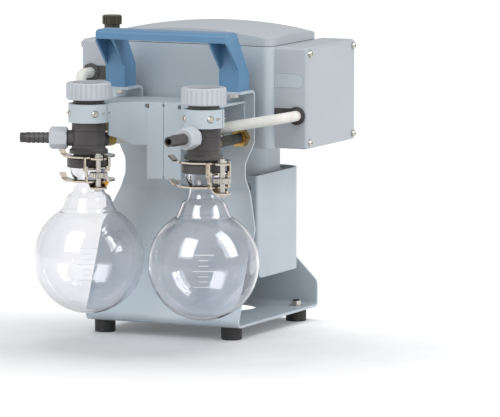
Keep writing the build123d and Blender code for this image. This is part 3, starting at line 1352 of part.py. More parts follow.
def hose_inlet():
    """Hose from the left head cover's upper slot down to the back of the left separator head."""
    end = socket_point("left", HOSE_A_ANGLE, HOSE_A_Z, SOCKET_START)
    before = socket_point("left", HOSE_A_ANGLE, HOSE_A_Z, 40.0)
    points = [
        (-PORT_X, socket_y(), PORT_HIGH_Z),
        (-PORT_X, 40.0, PORT_HIGH_Z),
        (-90.0, 14.0, 212.0),
        before,
        end,
    ]
    return tube(points, [18.0, 30.0, 18.0])


def hose_transfer():
    """Hose from the right head cover's lower slot, behind the right head, to the left separator head."""
    end = socket_point("left", HOSE_B_ANGLE, HOSE_B_Z, SOCKET_START)
    before = socket_point("left", HOSE_B_ANGLE, HOSE_B_Z, 42.0)
    points = [
        (PORT_X, socket_y(), PORT_LOW_Z),
        (PORT_X, 48.0, PORT_LOW_Z),
        (50.0, 14.0, 199.0),
        (10.0, 14.0, 190.0),
        (-22.0, 14.0, 189.0),
        before,
        end,
    ]
    return tube(points, [20.0, 60.0, 60.0, 20.0, 30.0])


def hose_outlet():
    """Short straight hose from the frame's bulkhead fitting to the back of the right separator head."""
    path_start = (HEAD_X, UPRIGHT_Y - 6.0, OUTLET_PORT_Z)
    path_end = socket_point("right", 90.0, OUTLET_PORT_Z, SOCKET_START)
    return bar(path_start, path_end, HOSE_RADIUS) - bar(path_start, path_end, HOSE_BORE)


def brass_nut(side, angle, z):
    """Compression nut over a hose at a head's side socket."""
    low = SOCKET_REACH + 0.2
    high = low + BRASS_NUT_LENGTH
    r = BRASS_NUT_RADIUS
    hexagon = Pos(0, 0, low) * extrude(RegularPolygon(r, 6), high - low)
    form = [(0, low), (r - 0.5, low), (r, low + 0.6), (r, high - 3), (HOSE_RADIUS + 0.8, high), (0, high)]
    nut = hexagon & turned(form)
    nut -= post(HOSE_RADIUS + RUNNING_CLEARANCE, low - 1, high + 1)
    x, y = head_centre(side)
    return Pos(x, y, z) * Rot(0, 0, angle) * Rot(0, 90, 0) * nut


def hose_nuts():
    """Brass nuts on the hoses and the bulkhead fitting in the upright."""
    nuts = [
        brass_nut("left", HOSE_A_ANGLE, HOSE_A_Z),
        brass_nut("left", HOSE_B_ANGLE, HOSE_B_Z),
        brass_nut("right", 90.0, OUTLET_PORT_Z),
    ]
    z = OUTLET_PORT_Z
    fitting = bar((HEAD_X, UPRIGHT_Y - 10, z), (HEAD_X, HOUSING_FRONT_Y, z), BULKHEAD_RADIUS)
    hexagon = extrude(RegularPolygon(9.0, 6), 8.0)
    fitting += Pos(HEAD_X, UPRIGHT_Y, z) * Rot(90, 0, 0) * hexagon
    socket_end = (HEAD_X, UPRIGHT_Y - 6, z)
    fitting -= bar((HEAD_X, UPRIGHT_Y - 11, z), socket_end, HOSE_RADIUS + RUNNING_CLEARANCE)
    fitting -= bar(socket_end, (HEAD_X, HOUSING_FRONT_Y + 1, z), HOSE_BORE)
    return nuts + [fitting]


# ---- Controls ----
def gas_ballast_knob():
    """Knurled knob with its neck, standing on the left head cover."""
    low = HOUSING_HIGH_Z + 0.1
    grip_low = KNOB_TOP_Z - 9.0
    neck = post(7.5, low, grip_low)
    grip = fluted(KNOB_RADIUS, 0.7, 16, grip_low, KNOB_TOP_Z, 1.0)
    body = neck + grip + post(KNOB_STEM_RADIUS, low - 10, low)
    return Pos(KNOB_X, KNOB_Y, 0) * body


def mains_inlet():
    """Appliance inlet with three pins below a rocker switch's frame, in the housing's back wall."""
    y1 = HOUSING_BACK_Y
    y0 = y1 - 22.0
    half = INLET_HALF_WIDTH
    body = block(INLET_X - half, INLET_X + half, y0, y1, INLET_Z - 9.8, INLET_Z + 33.8)
    body += block(INLET_X - 16, INLET_X + 16, y1, y1 + 2, INLET_Z - 13, INLET_Z + 37)
    socket = block(INLET_X - 12, INLET_X + 12, y1 - 16, y1 + 3, INLET_Z - 8, INLET_Z + 8)
    socket = chamfer(socket.edges().filter_by(Axis.Y).group_by(Axis.Z)[0], 4.0)
    body -= socket
    for x, z in ((-7, -2), (7, -2), (0, 3)):
        body += block(INLET_X + x - 1, INLET_X + x + 1, y1 - 17, y1 - 2, INLET_Z + z - 2, INLET_Z + z + 2)
    recess = ROCKER_TIP + 2.0
    body -= block(INLET_X - 10, INLET_X + 10, y1 - 12, y1 + 3, ROCKER_Z - recess, ROCKER_Z + recess)
    for x in (-10.5, 10.5):
        body += bar((INLET_X + x, y1 - 3, ROCKER_Z), (INLET_X + x * 0.85, y1 - 3, ROCKER_Z), 1.0)
    return body


def power_switch():
    """Rocker that tips about two stub pins in the inlet's frame."""
    y1 = HOUSING_BACK_Y
    side = [
        (y1 - 8.0, ROCKER_Z - 4.0),
        (y1 + 0.6, ROCKER_Z - ROCKER_TIP),
        (y1 + 1.4, ROCKER_Z),
        (y1 + 4.0, ROCKER_Z + ROCKER_TIP),
        (y1 - 8.0, ROCKER_Z + 4.0),
    ]
    outline = Polyline(*[(0, y, z) for y, z in side], close=True)
    body = extrude(make_face(outline), 9.6, both=True, dir=(1, 0, 0))
    body -= bar((-11, y1 - 3, ROCKER_Z), (11, y1 - 3, ROCKER_Z), 1.0 + RUNNING_CLEARANCE)
    return Pos(INLET_X, 0, 0) * body


# ---- Export ----
def pieces():
    """Every node's name with its solid or list of solids."""
    shifts = {"left": -CRANK_THROW, "right": CRANK_THROW}
    nodes = {
        "frame": frame(),
        "feet": feet(),
        "frame_fasteners": frame_fasteners(),
        "handle": handle(),
        "clamp_rings": clamp_rings(),
        "ring_screws": ring_screws(),
        "neck_plugs": neck_plugs(),
        "inlet_nozzle": nozzle("left"),
        "outlet_nozzle": nozzle("right"),
        "union_nuts": union_nuts(),
        "clamp_upper_forks": clamp_upper_forks(),
        "clamp_screws": clamp_screws(),
        "main_housing": main_housing(),
        "housing_lid": housing_lid(),
        "cover_backplates": both_sides(cover_backplate()),
        "head_plates": both_sides(head_plate()),
        "head_lids": both_sides(head_lid()),
        "head_screws": head_screws(),
        "valve_discs": valve_discs(),
        "eccentric": eccentric(),
        "rotor": rotor(),
        "fan": fan(),
        "bell_housing": bell_housing(),
        "motor_case": motor_case(),
        "stator": stator(),
        "shaft_bearings": shaft_bearings(),
        "motor_hood": motor_hood(),
        "vent_grille": vent_grille(),
        "gas_ballast_knob": gas_ballast_knob(),
        "port_fittings": port_fittings(),
        "port_blanks": port_blanks(),
        "hose_inlet": hose_inlet(),
        "hose_transfer": hose_transfer(),
        "hose_outlet": hose_outlet(),
        "hose_nuts": hose_nuts(),
        "mains_inlet": mains_inlet(),
        "power_switch": power_switch(),
    }
    for side in SIDES:
        nodes["separator_bracket_" + side] = separator_bracket(side)
        nodes["separator_head_" + side] = separator_head(side)
        nodes["screw_cap_" + side] = screw_cap(side)
        nodes["flask_" + side] = flask(side)
        nodes["clamp_lower_fork_" + side] = clamp_lower_fork(side)
        nodes["clamp_nut_" + side] = clamp_nut(side)
        nodes["head_cover_" + side] = head_cover(side)
        nodes["diaphragm_" + side] = on_side(diaphragm(shifts[side]), side)
        nodes["clamp_disc_" + side] = on_side(clamp_disc(shifts[side]), side)
        nodes["connecting_rod_" + side] = on_side(connecting_rod(side, shifts[side]), side)
        nodes["rod_bearing_" + side] = rod_bearing(side)
    return nodes


def centre_y():
    """Middle of the whole pump along Y: half way from the outlet nozzle's tip to the rear plate."""
    way = math.radians(OUTLET_NOZZLE_ANGLE)
    tip = HEAD_Y + NOZZLE_LENGTH * math.sin(way) + NOZZLE_TIP_RADIUS * math.cos(way)
    return (tip + BASE_LENGTH + SHEET) / 2


def main():
    os.makedirs("parts", exist_ok=True)
    shift = Pos(0, -centre_y(), 0)
    for name, shape in pieces().items():
        solids = shape if isinstance(shape, list) else [shape]
        solids = [part for item in solids for part in (shift * item).solids()]
        export_step(Compound(children=solids), os.path.join("parts", name + ".step"))


if __name__ == "__main__":
    main()
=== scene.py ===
"""Looks of the diaphragm vacuum pump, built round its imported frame."""
import json
import math
from functools import partial

import bmesh
import bpy
from bpy.props import FloatProperty, FloatVectorProperty, PointerProperty
from mathutils import Matrix, Vector


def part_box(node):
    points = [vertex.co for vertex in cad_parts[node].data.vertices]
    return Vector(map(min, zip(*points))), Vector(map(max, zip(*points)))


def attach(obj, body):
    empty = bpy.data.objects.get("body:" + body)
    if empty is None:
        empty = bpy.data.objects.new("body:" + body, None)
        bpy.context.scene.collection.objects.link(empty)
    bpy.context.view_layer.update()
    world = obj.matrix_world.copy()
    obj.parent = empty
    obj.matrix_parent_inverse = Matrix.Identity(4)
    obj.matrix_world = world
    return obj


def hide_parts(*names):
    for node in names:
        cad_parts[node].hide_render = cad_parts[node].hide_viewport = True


bl_info = {
    "name": "Diaphragm Vacuum Pump",
    "version": (1, 0, 0),
    "blender": (4, 5, 0),
    "location": "View3D > Sidebar > Pump",
    "description": "Finishes, glassware, joint clamps and studio of a laboratory diaphragm pump",
    "category": "Object",
}

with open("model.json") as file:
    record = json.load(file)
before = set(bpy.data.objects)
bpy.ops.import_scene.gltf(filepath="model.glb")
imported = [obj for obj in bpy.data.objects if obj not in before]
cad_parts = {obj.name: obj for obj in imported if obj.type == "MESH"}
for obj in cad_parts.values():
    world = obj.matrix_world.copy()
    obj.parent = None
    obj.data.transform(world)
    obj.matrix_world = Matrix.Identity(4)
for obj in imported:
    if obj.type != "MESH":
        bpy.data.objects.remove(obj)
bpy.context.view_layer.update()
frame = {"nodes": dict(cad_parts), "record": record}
NODES = frame["nodes"]
MM = 0.001
SIDES = ("left", "right")
WHITE = (1.0, 1.0, 1.0, 1.0)
BLACK = (0.0, 0.0, 0.0, 1.0)

# Flasks, in millimetres
GLASS_WALL = 2.0
NECK_RADIUS = 13.75
BALL_RADIUS = 17.5
RIM_ABOVE_BALL = 11.97
NECK_FOOT = 71.0
SHOULDER_ANGLE = 59.0

# Filling marks, in millimetres and degrees
MARK_HALF_HEIGHT = 0.35
MARK_FILM = 0.08
MARK_FACING = -65.0
MARK_WIDTHS = (22, 10, 10, 22, 10, 10, 22)
LOWEST_MARK = -15.0
MARK_STEP = 5.0

# Tag on the left clamp, in millimetres
TAG_BESIDE = 7.5
TAG_BELOW = 8.0
TAG_RADIUS = 3.4
TAG_THICKNESS = 1.2
TAG_EDGE = 0.35

# Studio lamps: name, azimuth and elevation in degrees, distance and size in metres, watts
PUMP_LAMPS = (
    ("key_softbox", -14, 34, 1.8, (1.0, 1.3), 13.0),
    ("side_softbox", 86, 34, 1.8, (0.9, 1.3), 14.0),
    ("back_softbox", 165, 62, 1.7, (1.3, 1.0), 2.0),
)
FLOOR_LAMP = ("floor_softbox", 180, 58, 1.7, (2.4, 0.9), 30.0)
GLASS_CARDS = (
    ("left_card", -10, 37, 1.6, (0.75, 1.1), 16.0),
    ("right_card", 92, 38, 1.6, (0.6, 1.5), 18.0),
)

# Studio, in metres and degrees
LAMP_TARGET = (0, 0, 0.14)
CAMERA_AIM = (0.0662, 0.0138, 0.120)
CAMERA_ROLL = 0.09
FLOOR_HALF = 6.0


# ---- Colours and nodes ----
def linear(code):
    """Opaque linear RGBA of an sRGB hex colour."""
    channels = [int(code[i : i + 2], 16) / 255 for i in (1, 3, 5)]
    return (*[c / 12.92 if c <= 0.04045 else ((c + 0.055) / 1.055) ** 2.4 for c in channels], 1.0)


def mixed(a, b, share):
    """Linear colour between two linear colours."""
    return tuple(x + (y - x) * share for x, y in zip(a, b))


def node(tree, kind, values=None, links=None, **settings):
    """Adds a node with its settings, its socket values and the sockets that feed it."""
    made = tree.nodes.new(kind)
    for name, value in settings.items():
        setattr(made, name, value)
    for name, value in (values or {}).items():
        made.inputs[name].default_value = value
    for name, source in (links or {}).items():
        tree.links.new(source, made.inputs[name])
    return made


def start(name, **shader_values):
    """New material with a Principled shader: (material, tree, shader, object coordinates)."""
    material = bpy.data.materials.new(name)
    material.use_nodes = True
    tree = material.node_tree
    tree.nodes.clear()
    values = {key.replace("_", " "): value for key, value in shader_values.items()}
    shader = node(tree, "ShaderNodeBsdfPrincipled", values)
    node(tree, "ShaderNodeOutputMaterial", None, {"Surface": shader.outputs["BSDF"]})
    coords = node(tree, "ShaderNodeTexCoord").outputs["Object"]
    return material, tree, shader, coords


def blended(tree, factor, first, second):
    """Puts a mix of two shaders on the material's output."""
    blend = node(tree, "ShaderNodeMixShader", None, {"Fac": factor, 1: first, 2: second})
    output = next(n for n in tree.nodes if n.type == "OUTPUT_MATERIAL")
    tree.links.new(blend.outputs["Shader"], output.inputs["Surface"])


def highest(tree, *sockets):
    """Highest of some values."""
    top = sockets[0]
    for socket in sockets[1:]:
        top = node(tree, "ShaderNodeMath", None, {0: socket, 1: top}, operation="MAXIMUM").outputs[0]
    return top


def per(size):
    """Noise scale for a pattern of that size in millimetres."""
    return 1.0 / (size * MM)


def noise(tree, coords, size, detail=2.0, roughness=0.5, stretch=None):
    """Noise of a size in millimetres, drawn out along an axis by stretch."""
    if stretch:
        coords = node(tree, "ShaderNodeMapping", {"Scale": stretch}, {"Vector": coords}).outputs["Vector"]
    values = {"Scale": per(size), "Detail": detail, "Roughness": roughness}
    return node(tree, "ShaderNodeTexNoise", values, {"Vector": coords}).outputs["Fac"]


def tint(tree, shader, factor, low, high, start_at=0.3, end_at=0.7):
    """Base colour that runs from low to high with factor."""
    values = {"From Min": start_at, "From Max": end_at}
    spread = node(tree, "ShaderNodeMapRange", values, {"Value": factor}).outputs["Result"]
    mix = node(tree, "ShaderNodeMix", {6: low, 7: high}, {0: spread}, data_type="RGBA")
    tree.links.new(mix.outputs[2], shader.inputs["Base Color"])


def rough(tree, shader, factor, low, high):
    """Roughness that runs from low to high with factor."""
    values = {"From Min": 0.25, "From Max": 0.75, "To Min": low, "To Max": high}
    spread = node(tree, "ShaderNodeMapRange", values, {"Value": factor})
    tree.links.new(spread.outputs["Result"], shader.inputs["Roughness"])


def bump(tree, shader, height, depth, strength):
    """Relief of a depth in millimetres."""
    values = {"Strength": strength, "Distance": depth * MM}
    relief = node(tree, "ShaderNodeBump", values, {"Height": height})
    tree.links.new(relief.outputs["Normal"], shader.inputs["Normal"])


# ---- Finishes ----
def powder_coat(name, colour):
    """Polyester powder coat on steel and cast housings: satin, with the orange peel of its baking."""
    values = {"Roughness": 0.42, "IOR": 1.5, "Coat_Weight": 0.08, "Coat_Roughness": 0.25}
    material, tree, shader, coords = start(name, **values)
    cloud = noise(tree, coords, 70.0, 2.0)
    tint(tree, shader, cloud, mixed(colour, linear("#8FA0AD"), 0.06), mixed(colour, linear("#E8ECEF"), 0.05))
    peel = noise(tree, coords, 2.2, 2.0, 0.45)
    rough(tree, shader, peel, 0.38, 0.47)
    bump(tree, shader, peel, 0.035, 0.55)
    return material


def moulding(name, colour, roughness, spread=0.05):
    """Injection moulded thermoplastic: an even satin with the fine spark grain of its tool."""
    material, tree, shader, coords = start(name, Roughness=roughness, IOR=1.49)
    cloud = noise(tree, coords, 35.0, 2.0)
    tint(tree, shader, cloud, mixed(colour, BLACK, spread), mixed(colour, WHITE, spread * 0.3))
    spark = noise(tree, coords, 0.9, 3.0, 0.6)
    rough(tree, shader, spark, roughness - 0.06, roughness + 0.08)
    bump(tree, shader, spark, 0.02, 0.5)
    return material


def pressed_stainless():
    """Stainless spring sheet, pressed and tumbled: bright, with soft scratches and a warm reflection."""
    material, tree, shader, coords = start("pressed_stainless_sheet", Metallic=1.0, Roughness=0.2)
    lines = noise(tree, coords, 1.2, 3.0, 0.6, stretch=(1.0, 1.0, 9.0))
    tint(tree, shader, lines, linear("#A99D8E"), linear("#E4DBCD"))
    rough(tree, shader, lines, 0.08, 0.2)
    bump(tree, shader, lines, 0.008, 0.3)
    return material


def zinc_plate():
    """Zinc plated fasteners: a warm silver with a faint cloudy mottle."""
    material, tree, shader, coords = start("zinc_plated_steel", Metallic=1.0, Roughness=0.28)
    mottle = noise(tree, coords, 7.0, 2.0, 0.5)
    tint(tree, shader, mottle, linear("#B0AEA8"), linear("#D9D6CE"))
    rough(tree, shader, mottle, 0.16, 0.28)
    bump(tree, shader, mottle, 0.01, 0.3)
    return material


def turned_brass():
    """Turned brass nuts: fine tool marks and slight tarnish in the hollows."""
    material, tree, shader, coords = start("turned_brass", Metallic=1.0, Roughness=0.25)
    marks = noise(tree, coords, 1.0, 3.0, 0.6, stretch=(1.0, 6.0, 1.0))
    tint(tree, shader, marks, linear("#9A7434"), linear("#E2C37A"))
    rough(tree, shader, marks, 0.18, 0.36)
    bump(tree, shader, marks, 0.015, 0.4)
    return material


def cast_aluminium():
    """Sand-blasted aluminium casting: a dull even grey with a grit of about a millimetre."""
    material, tree, shader, coords = start("cast_aluminium", Metallic=1.0, Roughness=0.5)
    grit = noise(tree, coords, 1.1, 4.0, 0.65)
    tint(tree, shader, grit, linear("#96999B"), linear("#C3C6C8"))
    rough(tree, shader, grit, 0.42, 0.6)
    bump(tree, shader, grit, 0.06, 0.6)
    return material


def stacked_laminations():
    """Edges of stacked electrical sheet, 0.5 mm each and drawn at 1.5 mm so that they show."""
    material, tree, shader, coords = start("stacked_laminations", Metallic=1.0, Roughness=0.45)
    waves = node(
        tree,
        "ShaderNodeTexWave",
        {"Scale": per(1.5) / (2 * math.pi), "Distortion": 0.4, "Detail": 1.0},
        {"Vector": coords},
        wave_type="BANDS",
        bands_direction="Z",
    ).outputs["Fac"]
    tint(tree, shader, waves, linear("#5E5F60"), linear("#8E8F90"), 0.2, 0.8)
    rough(tree, shader, waves, 0.36, 0.52)
    bump(tree, shader, waves, 0.08, 0.5)
    return material


def borosilicate_glass():
    """Blown borosilicate glass: clear, with a trace of grey-lilac and the soft waves of its blowing."""
    values = {"Roughness": 0.0, "IOR": 1.473, "Transmission_Weight": 1.0}
    material, tree, shader, coords = start("borosilicate_glass", **values)
    waves = noise(tree, coords, 45.0, 1.0)
    tint(tree, shader, waves, linear("#F0F0F3"), linear("#F7F7F9"))
    bump(tree, shader, waves, 0.05, 0.12)
    clear = node(tree, "ShaderNodeBsdfTransparent", {"Color": linear("#E9ECEE")})
    path = node(tree, "ShaderNodeLightPath")
    blended(tree, path.outputs["Is Shadow Ray"], shader.outputs["BSDF"], clear.outputs["BSDF"])
    return material


def fluoropolymer_hose():
    """Extruded white PTFE hose: waxy, slightly milky, with faint draw lines."""
    material, tree, shader, coords = start(
        "extruded_ptfe", Roughness=0.36, IOR=1.38, Subsurface_Weight=0.2, Subsurface_Scale=3.0 * MM
    )
    cloud = noise(tree, coords, 14.0, 2.0)
    tint(tree, shader, cloud, linear("#E0DFD8"), linear("#EFEEE8"))
    lines = noise(tree, coords, 1.5, 2.0)
    rough(tree, shader, lines, 0.3, 0.42)
    bump(tree, shader, lines, 0.015, 0.4)
    return material


def rubber(name, code, roughness=0.62):
    """Moulded rubber: deep matt, with bloom in soft clouds and a fine grain."""
    colour = linear(code)
    material, tree, shader, coords = start(name, Roughness=roughness, IOR=1.52)
    bloom = noise(tree, coords, 9.0, 3.0)
    tint(tree, shader, bloom, colour, mixed(colour, linear("#8A8780"), 0.08))
    grain = noise(tree, coords, 1.0, 3.0, 0.6)
    rough(tree, shader, grain, roughness - 0.06, roughness + 0.1)
    bump(tree, shader, grain, 0.03, 0.5)
    return material


def enamel(name, code):
    """Fired white enamel of the flask's marks: opaque and a little chalky."""
    colour = linear(code)
    material, tree, shader, coords = start(name, Roughness=0.5, IOR=1.5)
    chalk = noise(tree, coords, 0.8, 2.0)
    tint(tree, shader, chalk, mixed(colour, linear("#B9BCBF"), 0.25), colour)
    bump(tree, shader, chalk, 0.01, 0.4)
    return material


# ---- Meshes ----
def piece(name, mesh_maker, material, body="pump", replaces=(), smooth=30.0):
    """Makes a piece from a bmesh, turns its normals outward and lets it ride on a body."""
    bm = bmesh.new()
    mesh_maker(bm)
    bmesh.ops.remove_doubles(bm, verts=bm.verts, dist=1e-6)
    bmesh.ops.recalc_face_normals(bm, faces=bm.faces)
    for face in bm.faces:
        face.smooth = True
    mesh = bpy.data.meshes.new(name)
    bm.to_mesh(mesh)
    bm.free()
    mesh.set_sharp_from_angle(angle=math.radians(smooth))
    mesh.materials.append(material)
    made = bpy.data.objects.new(name, mesh)
    bpy.context.scene.collection.objects.link(made)
    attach(made, body)
    if replaces:
        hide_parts(*replaces)
    return made


def arc(centre, radius, first, last, steps):
    """Points (radius, z) on an arc between two angles in degrees."""
    points = []
    for index in range(steps + 1):
        angle = math.radians(first + (last - first) * index / steps)
        points.append((centre[0] + radius * math.cos(angle), centre[1] + radius * math.sin(angle)))
    return points


def spun(bm, profile, steps, place):
    """Turns a closed outline of (radius, z) points in millimetres about the upright axis."""
    verts = [bm.verts.new((r * MM, 0, z * MM)) for r, z in profile]
    edges = [bm.edges.new(pair) for pair in zip(verts, verts[1:] + verts[:1])]
    bmesh.ops.spin(
        bm,
        geom=verts + edges,
        cent=(0, 0, 0),
        axis=(0, 0, 1),
        angle=2 * math.pi,
        steps=steps,
        use_merge=True,
    )
    bmesh.ops.remove_doubles(bm, verts=bm.verts, dist=1e-6)
    bmesh.ops.transform(bm, matrix=place, verts=bm.verts)


def middle(name):
    """Middle of a CAD node's box."""
    low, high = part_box(name)
    return (low + high) / 2


def head_axis(side):
    """Upright axis of a separator head, at the floor."""
    centre = middle("screw_cap_" + side)
    return Vector((centre.x, centre.y, 0))


# ---- What a user may change ----
class PumpColours(bpy.types.PropertyGroup):
    """Colours of the pump's finishes."""

    housing: FloatVectorProperty(
        name="Housing",
        description="Powder coat of the housing and its frame",
        subtype="COLOR",
        size=4,
        min=0.0,
        max=1.0,
        default=linear("#BCC6CD"),
    )
    covers: FloatVectorProperty(
        name="Covers",
        description="Powder coat of the two side covers",
        subtype="COLOR",
        size=4,
        min=0.0,
        max=1.0,
        default=linear("#B3B9BF"),
    )
    handle: FloatVectorProperty(
        name="Handle",
        description="Moulded blue of the carrying handle",
        subtype="COLOR",
        size=4,
        min=0.0,
        max=1.0,
        default=linear("#5C88AC"),
    )


class PumpStage(bpy.types.PropertyGroup):
    """Camera of the studio."""

    azimuth: FloatProperty(
        name="Azimuth",
        description="How far the camera stands to the right of the front",
        subtype="ANGLE",
        unit="ROTATION",
        default=math.radians(24.78),
    )
    elevation: FloatProperty(
        name="Elevation",
        description="How far the camera looks down",
        subtype="ANGLE",
        unit="ROTATION",
        default=math.radians(6.56),
    )
    distance: FloatProperty(
        name="Distance", description="From the camera to the pump", unit="LENGTH", default=5.535
    )
    lens: FloatProperty(name="Lens", description="Focal length in millimetres", default=419.6)


FINISHES = {}


def finish(name):
    """A finish by its slot, made once."""
    if name not in FINISHES:
        colours = bpy.context.scene.pump_colours
        makers = {
            "housing_paint": lambda: powder_coat("powder_coat_blue_grey", tuple(colours.housing)),
            "cover_paint": lambda: powder_coat("powder_coat_light_grey", tuple(colours.covers)),
            "hood_plastic": lambda: moulding("abs_hood_blue_grey", linear("#BAC3CB"), 0.45),
            "handle_plastic": lambda: moulding("polyamide_handle_blue", tuple(colours.handle), 0.4),
            "black_plastic": lambda: moulding("glass_filled_polyamide_black", linear("#373332"), 0.38, 0.2),
            "grey_plastic": lambda: moulding("polypropylene_light_grey", linear("#C2C7CD"), 0.4),
            # The rubber slot also covers the short outlet hose under the transfer hose. Its black there is
            # painted shade, standing for the dark space behind it.
            "rubber": lambda: rubber("rubber_buffers_and_painted_shade_hose", "#262422"),
            "elastomer": lambda: rubber("elastomer_sheet", "#35322F", 0.5),
            "steel": zinc_plate,
            "clamp_steel": pressed_stainless,
            "brass": turned_brass,
            "aluminium": cast_aluminium,
            "laminated_steel": stacked_laminations,
            "glass": borosilicate_glass,
            "hose": fluoropolymer_hose,
            "knob_plastic": lambda: moulding("phenolic_knob_olive", linear("#403C29"), 0.36),
            "tag": lambda: moulding("polyethylene_tag_orange", linear("#E39A22"), 0.4),
            "enamel": lambda: enamel("fired_white_enamel", "#E6E8EA"),
        }
        FINISHES[name] = makers[name]()
    return FINISHES[name]


# ---- Operators ----
class PUMP_OT_finishes(bpy.types.Operator):
    """Give every CAD node the finish of its material slot"""

    bl_idname = "pump.finishes"
    bl_label = "Finishes"

    def execute(self, context):
        for part in frame["record"]["subparts"]:
            data = NODES[part["node"]].data
            data.materials.clear()
            data.materials.append(finish(part["material_slot"]))
        return {"FINISHED"}


class PUMP_OT_flasks(bpy.types.Operator):
    """Blow the two round flasks with the balls of their joints"""

    bl_idname = "pump.flasks"
    bl_label = "Flasks"

    def execute(self, context):
        for side in SIDES:
            node_name = "flask_" + side
            blow = partial(blow_flask, side=side)
            piece(node_name + "_glass", blow, finish("glass"), "flask_body_" + side, (node_name,))
        return {"FINISHED"}


def bowl(side):
    """Radius of a flask's bowl and height of its centre, in millimetres."""
    low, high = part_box("flask_" + side)
    radius = (high.x - low.x) / 2 / MM
    return radius, low.z / MM + radius


def blow_flask(bm, side):
    """Turns a flask's wall about its upright axis."""
    radius, centre_z = bowl(side)
    ball_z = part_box("flask_" + side)[1].z / MM - RIM_ABOVE_BALL
    spun(bm, flask_profile(radius, centre_z, ball_z), 128, Matrix.Translation(head_axis(side)))


def flask_profile(radius, centre_z, ball_z):
    """Wall of a flask from its lowest point out and up to the ball, and back inside."""
    outer = arc((0, centre_z), radius, -90, SHOULDER_ANGLE, 48)
    outside = [(25.4, 46.5), (24.7, 48.2), (23.6, 50.8), (22.4, 53.6), (21.5, 56.0), (20.8, 57.7)]
    outside += [(19.8, 59.1), (18.4, 60.1), (16.8, 61.2), (15.4, 63.2), (14.5, 65.6), (14.0, 68.2)]
    outer += [(r, centre_z + z) for r, z in outside + [(NECK_RADIUS, NECK_FOOT)]]
    low_angle = -math.degrees(math.acos(NECK_RADIUS / BALL_RADIUS))
    outer += arc((0, ball_z), BALL_RADIUS, low_angle, 45, 18)
    bore = NECK_RADIUS - GLASS_WALL
    inner = [(bore, outer[-1][1]), (bore, centre_z + NECK_FOOT)]
    inside = [(12.1, 68.0), (12.7, 65.2), (13.8, 62.4), (15.4, 60.2), (17.2, 58.8), (18.5, 57.7)]
    inside += [(19.3, 56.0), (20.4, 53.0), (21.6, 50.2), (22.8, 47.6), (23.8, 45.4), (25.2, 43.8)]
    inner += [(r, centre_z + z) for r, z in inside]
    inner += arc((0, centre_z), radius - GLASS_WALL, SHOULDER_ANGLE, -90, 48)
    return outer + inner


class PUMP_OT_marks(bpy.types.Operator):
    """Fire plain filling marks on the front of the flasks"""

    bl_idname = "pump.marks"
    bl_label = "Filling marks"

    def execute(self, context):
        for side in SIDES:
            fire = partial(fire_marks, side=side)
            piece("flask_" + side + "_marks", fire, finish("enamel"), "flask_body_" + side)
        return {"FINISHED"}


def fire_marks(bm, side):
    """Lays the filling lines of a flask one above another."""
    radius, centre_z = bowl(side)
    for index, width in enumerate(MARK_WIDTHS):
        mark(bm, radius, centre_z, LOWEST_MARK + MARK_STEP * index, width)
    bmesh.ops.transform(bm, matrix=Matrix.Translation(head_axis(side)), verts=bm.verts)


def mark(bm, radius, centre_z, level, width):
    """One filling line, a strip of enamel on a flask's bowl, as wide as an angle in degrees."""
    ends = []
    for z in (level - MARK_HALF_HEIGHT, level + MARK_HALF_HEIGHT):
        reach = math.sqrt((radius + MARK_FILM) ** 2 - z * z)
        ends.append(bm.verts.new((reach * MM, 0, (centre_z + z) * MM)))
    edge = bm.edges.new(ends)
    turn = Matrix.Rotation(math.radians(MARK_FACING - width / 2), 4, "Z")
    bmesh.ops.transform(bm, matrix=turn, verts=ends)
    before = set(bm.faces)
    bmesh.ops.spin(
        bm,
        geom=ends + [edge],
        cent=(0, 0, 0),
        axis=(0, 0, 1),
        angle=math.radians(width),
        steps=12,
    )
    strip = [face for face in bm.faces if face not in before]
    bmesh.ops.solidify(bm, geom=strip, thickness=MARK_FILM * MM)


class PUMP_OT_tag(bpy.types.Operator):
    """Hang the orange tag beside the screw of the left clamp"""

    bl_idname = "pump.tag"
    bl_label = "Tag"

    def execute(self, context):
        piece("clamp_tag", cut_tag, finish("tag"), "fork_left")
        return {"FINISHED"}


def cut_tag(bm):
    """Small triangle that points down, with rounded edges."""
    turn = Matrix.Rotation(bpy.context.scene.pump_stage.azimuth, 4, "Z")
    spot = middle("clamp_nut_left") + turn.to_3x3() @ Vector((TAG_BESIDE * MM, 0, -TAG_BELOW * MM))
    upright = Matrix.Rotation(math.radians(90), 4, "X") @ Matrix.Rotation(math.radians(60), 4, "Z")
    bmesh.ops.create_cone(
        bm,
        cap_ends=True,
        segments=3,
        radius1=TAG_RADIUS * MM,
        radius2=TAG_RADIUS * MM,
        depth=TAG_THICKNESS * MM,
        matrix=Matrix.Translation(spot) @ turn @ upright,
    )
    bmesh.ops.bevel(
        bm,
        geom=bm.edges[:],
        offset=TAG_EDGE * MM,
        offset_type="OFFSET",
        segments=3,
        profile=0.5,
        affect="EDGES",
        material=-1,
    )


class PUMP_OT_stage(bpy.types.Operator):
    """Set the floor, the lamps, the world and the camera"""

    bl_idname = "pump.stage"
    bl_label = "Studio"

    def execute(self, context):
        scene = context.scene
        stage = scene.pump_stage
        scene.view_settings.view_transform = "Standard"
        floor = floor_piece()
        world_light(scene)
        pump = [o for o in scene.objects if o.type == "MESH" and o is not floor]
        for values in PUMP_LAMPS:
            only(lamp(*values), "pump_alone", pump)
        only(lamp(*FLOOR_LAMP), "studio", [floor])
        for values in GLASS_CARDS:
            card(*values)
        camera(scene, stage)
        return {"FINISHED"}


def floor_piece():
    """Pale floor that keeps the pump's shadow close by and is plain white further off."""
    bm = bmesh.new()
    bmesh.ops.create_grid(bm, x_segments=1, y_segments=1, size=FLOOR_HALF)
    mesh = bpy.data.meshes.new("studio_floor")
    bm.to_mesh(mesh)
    bm.free()
    mesh.materials.append(floor_paint())
    floor = bpy.data.objects.new("studio_floor", mesh)
    bpy.context.scene.collection.objects.link(floor)
    return floor


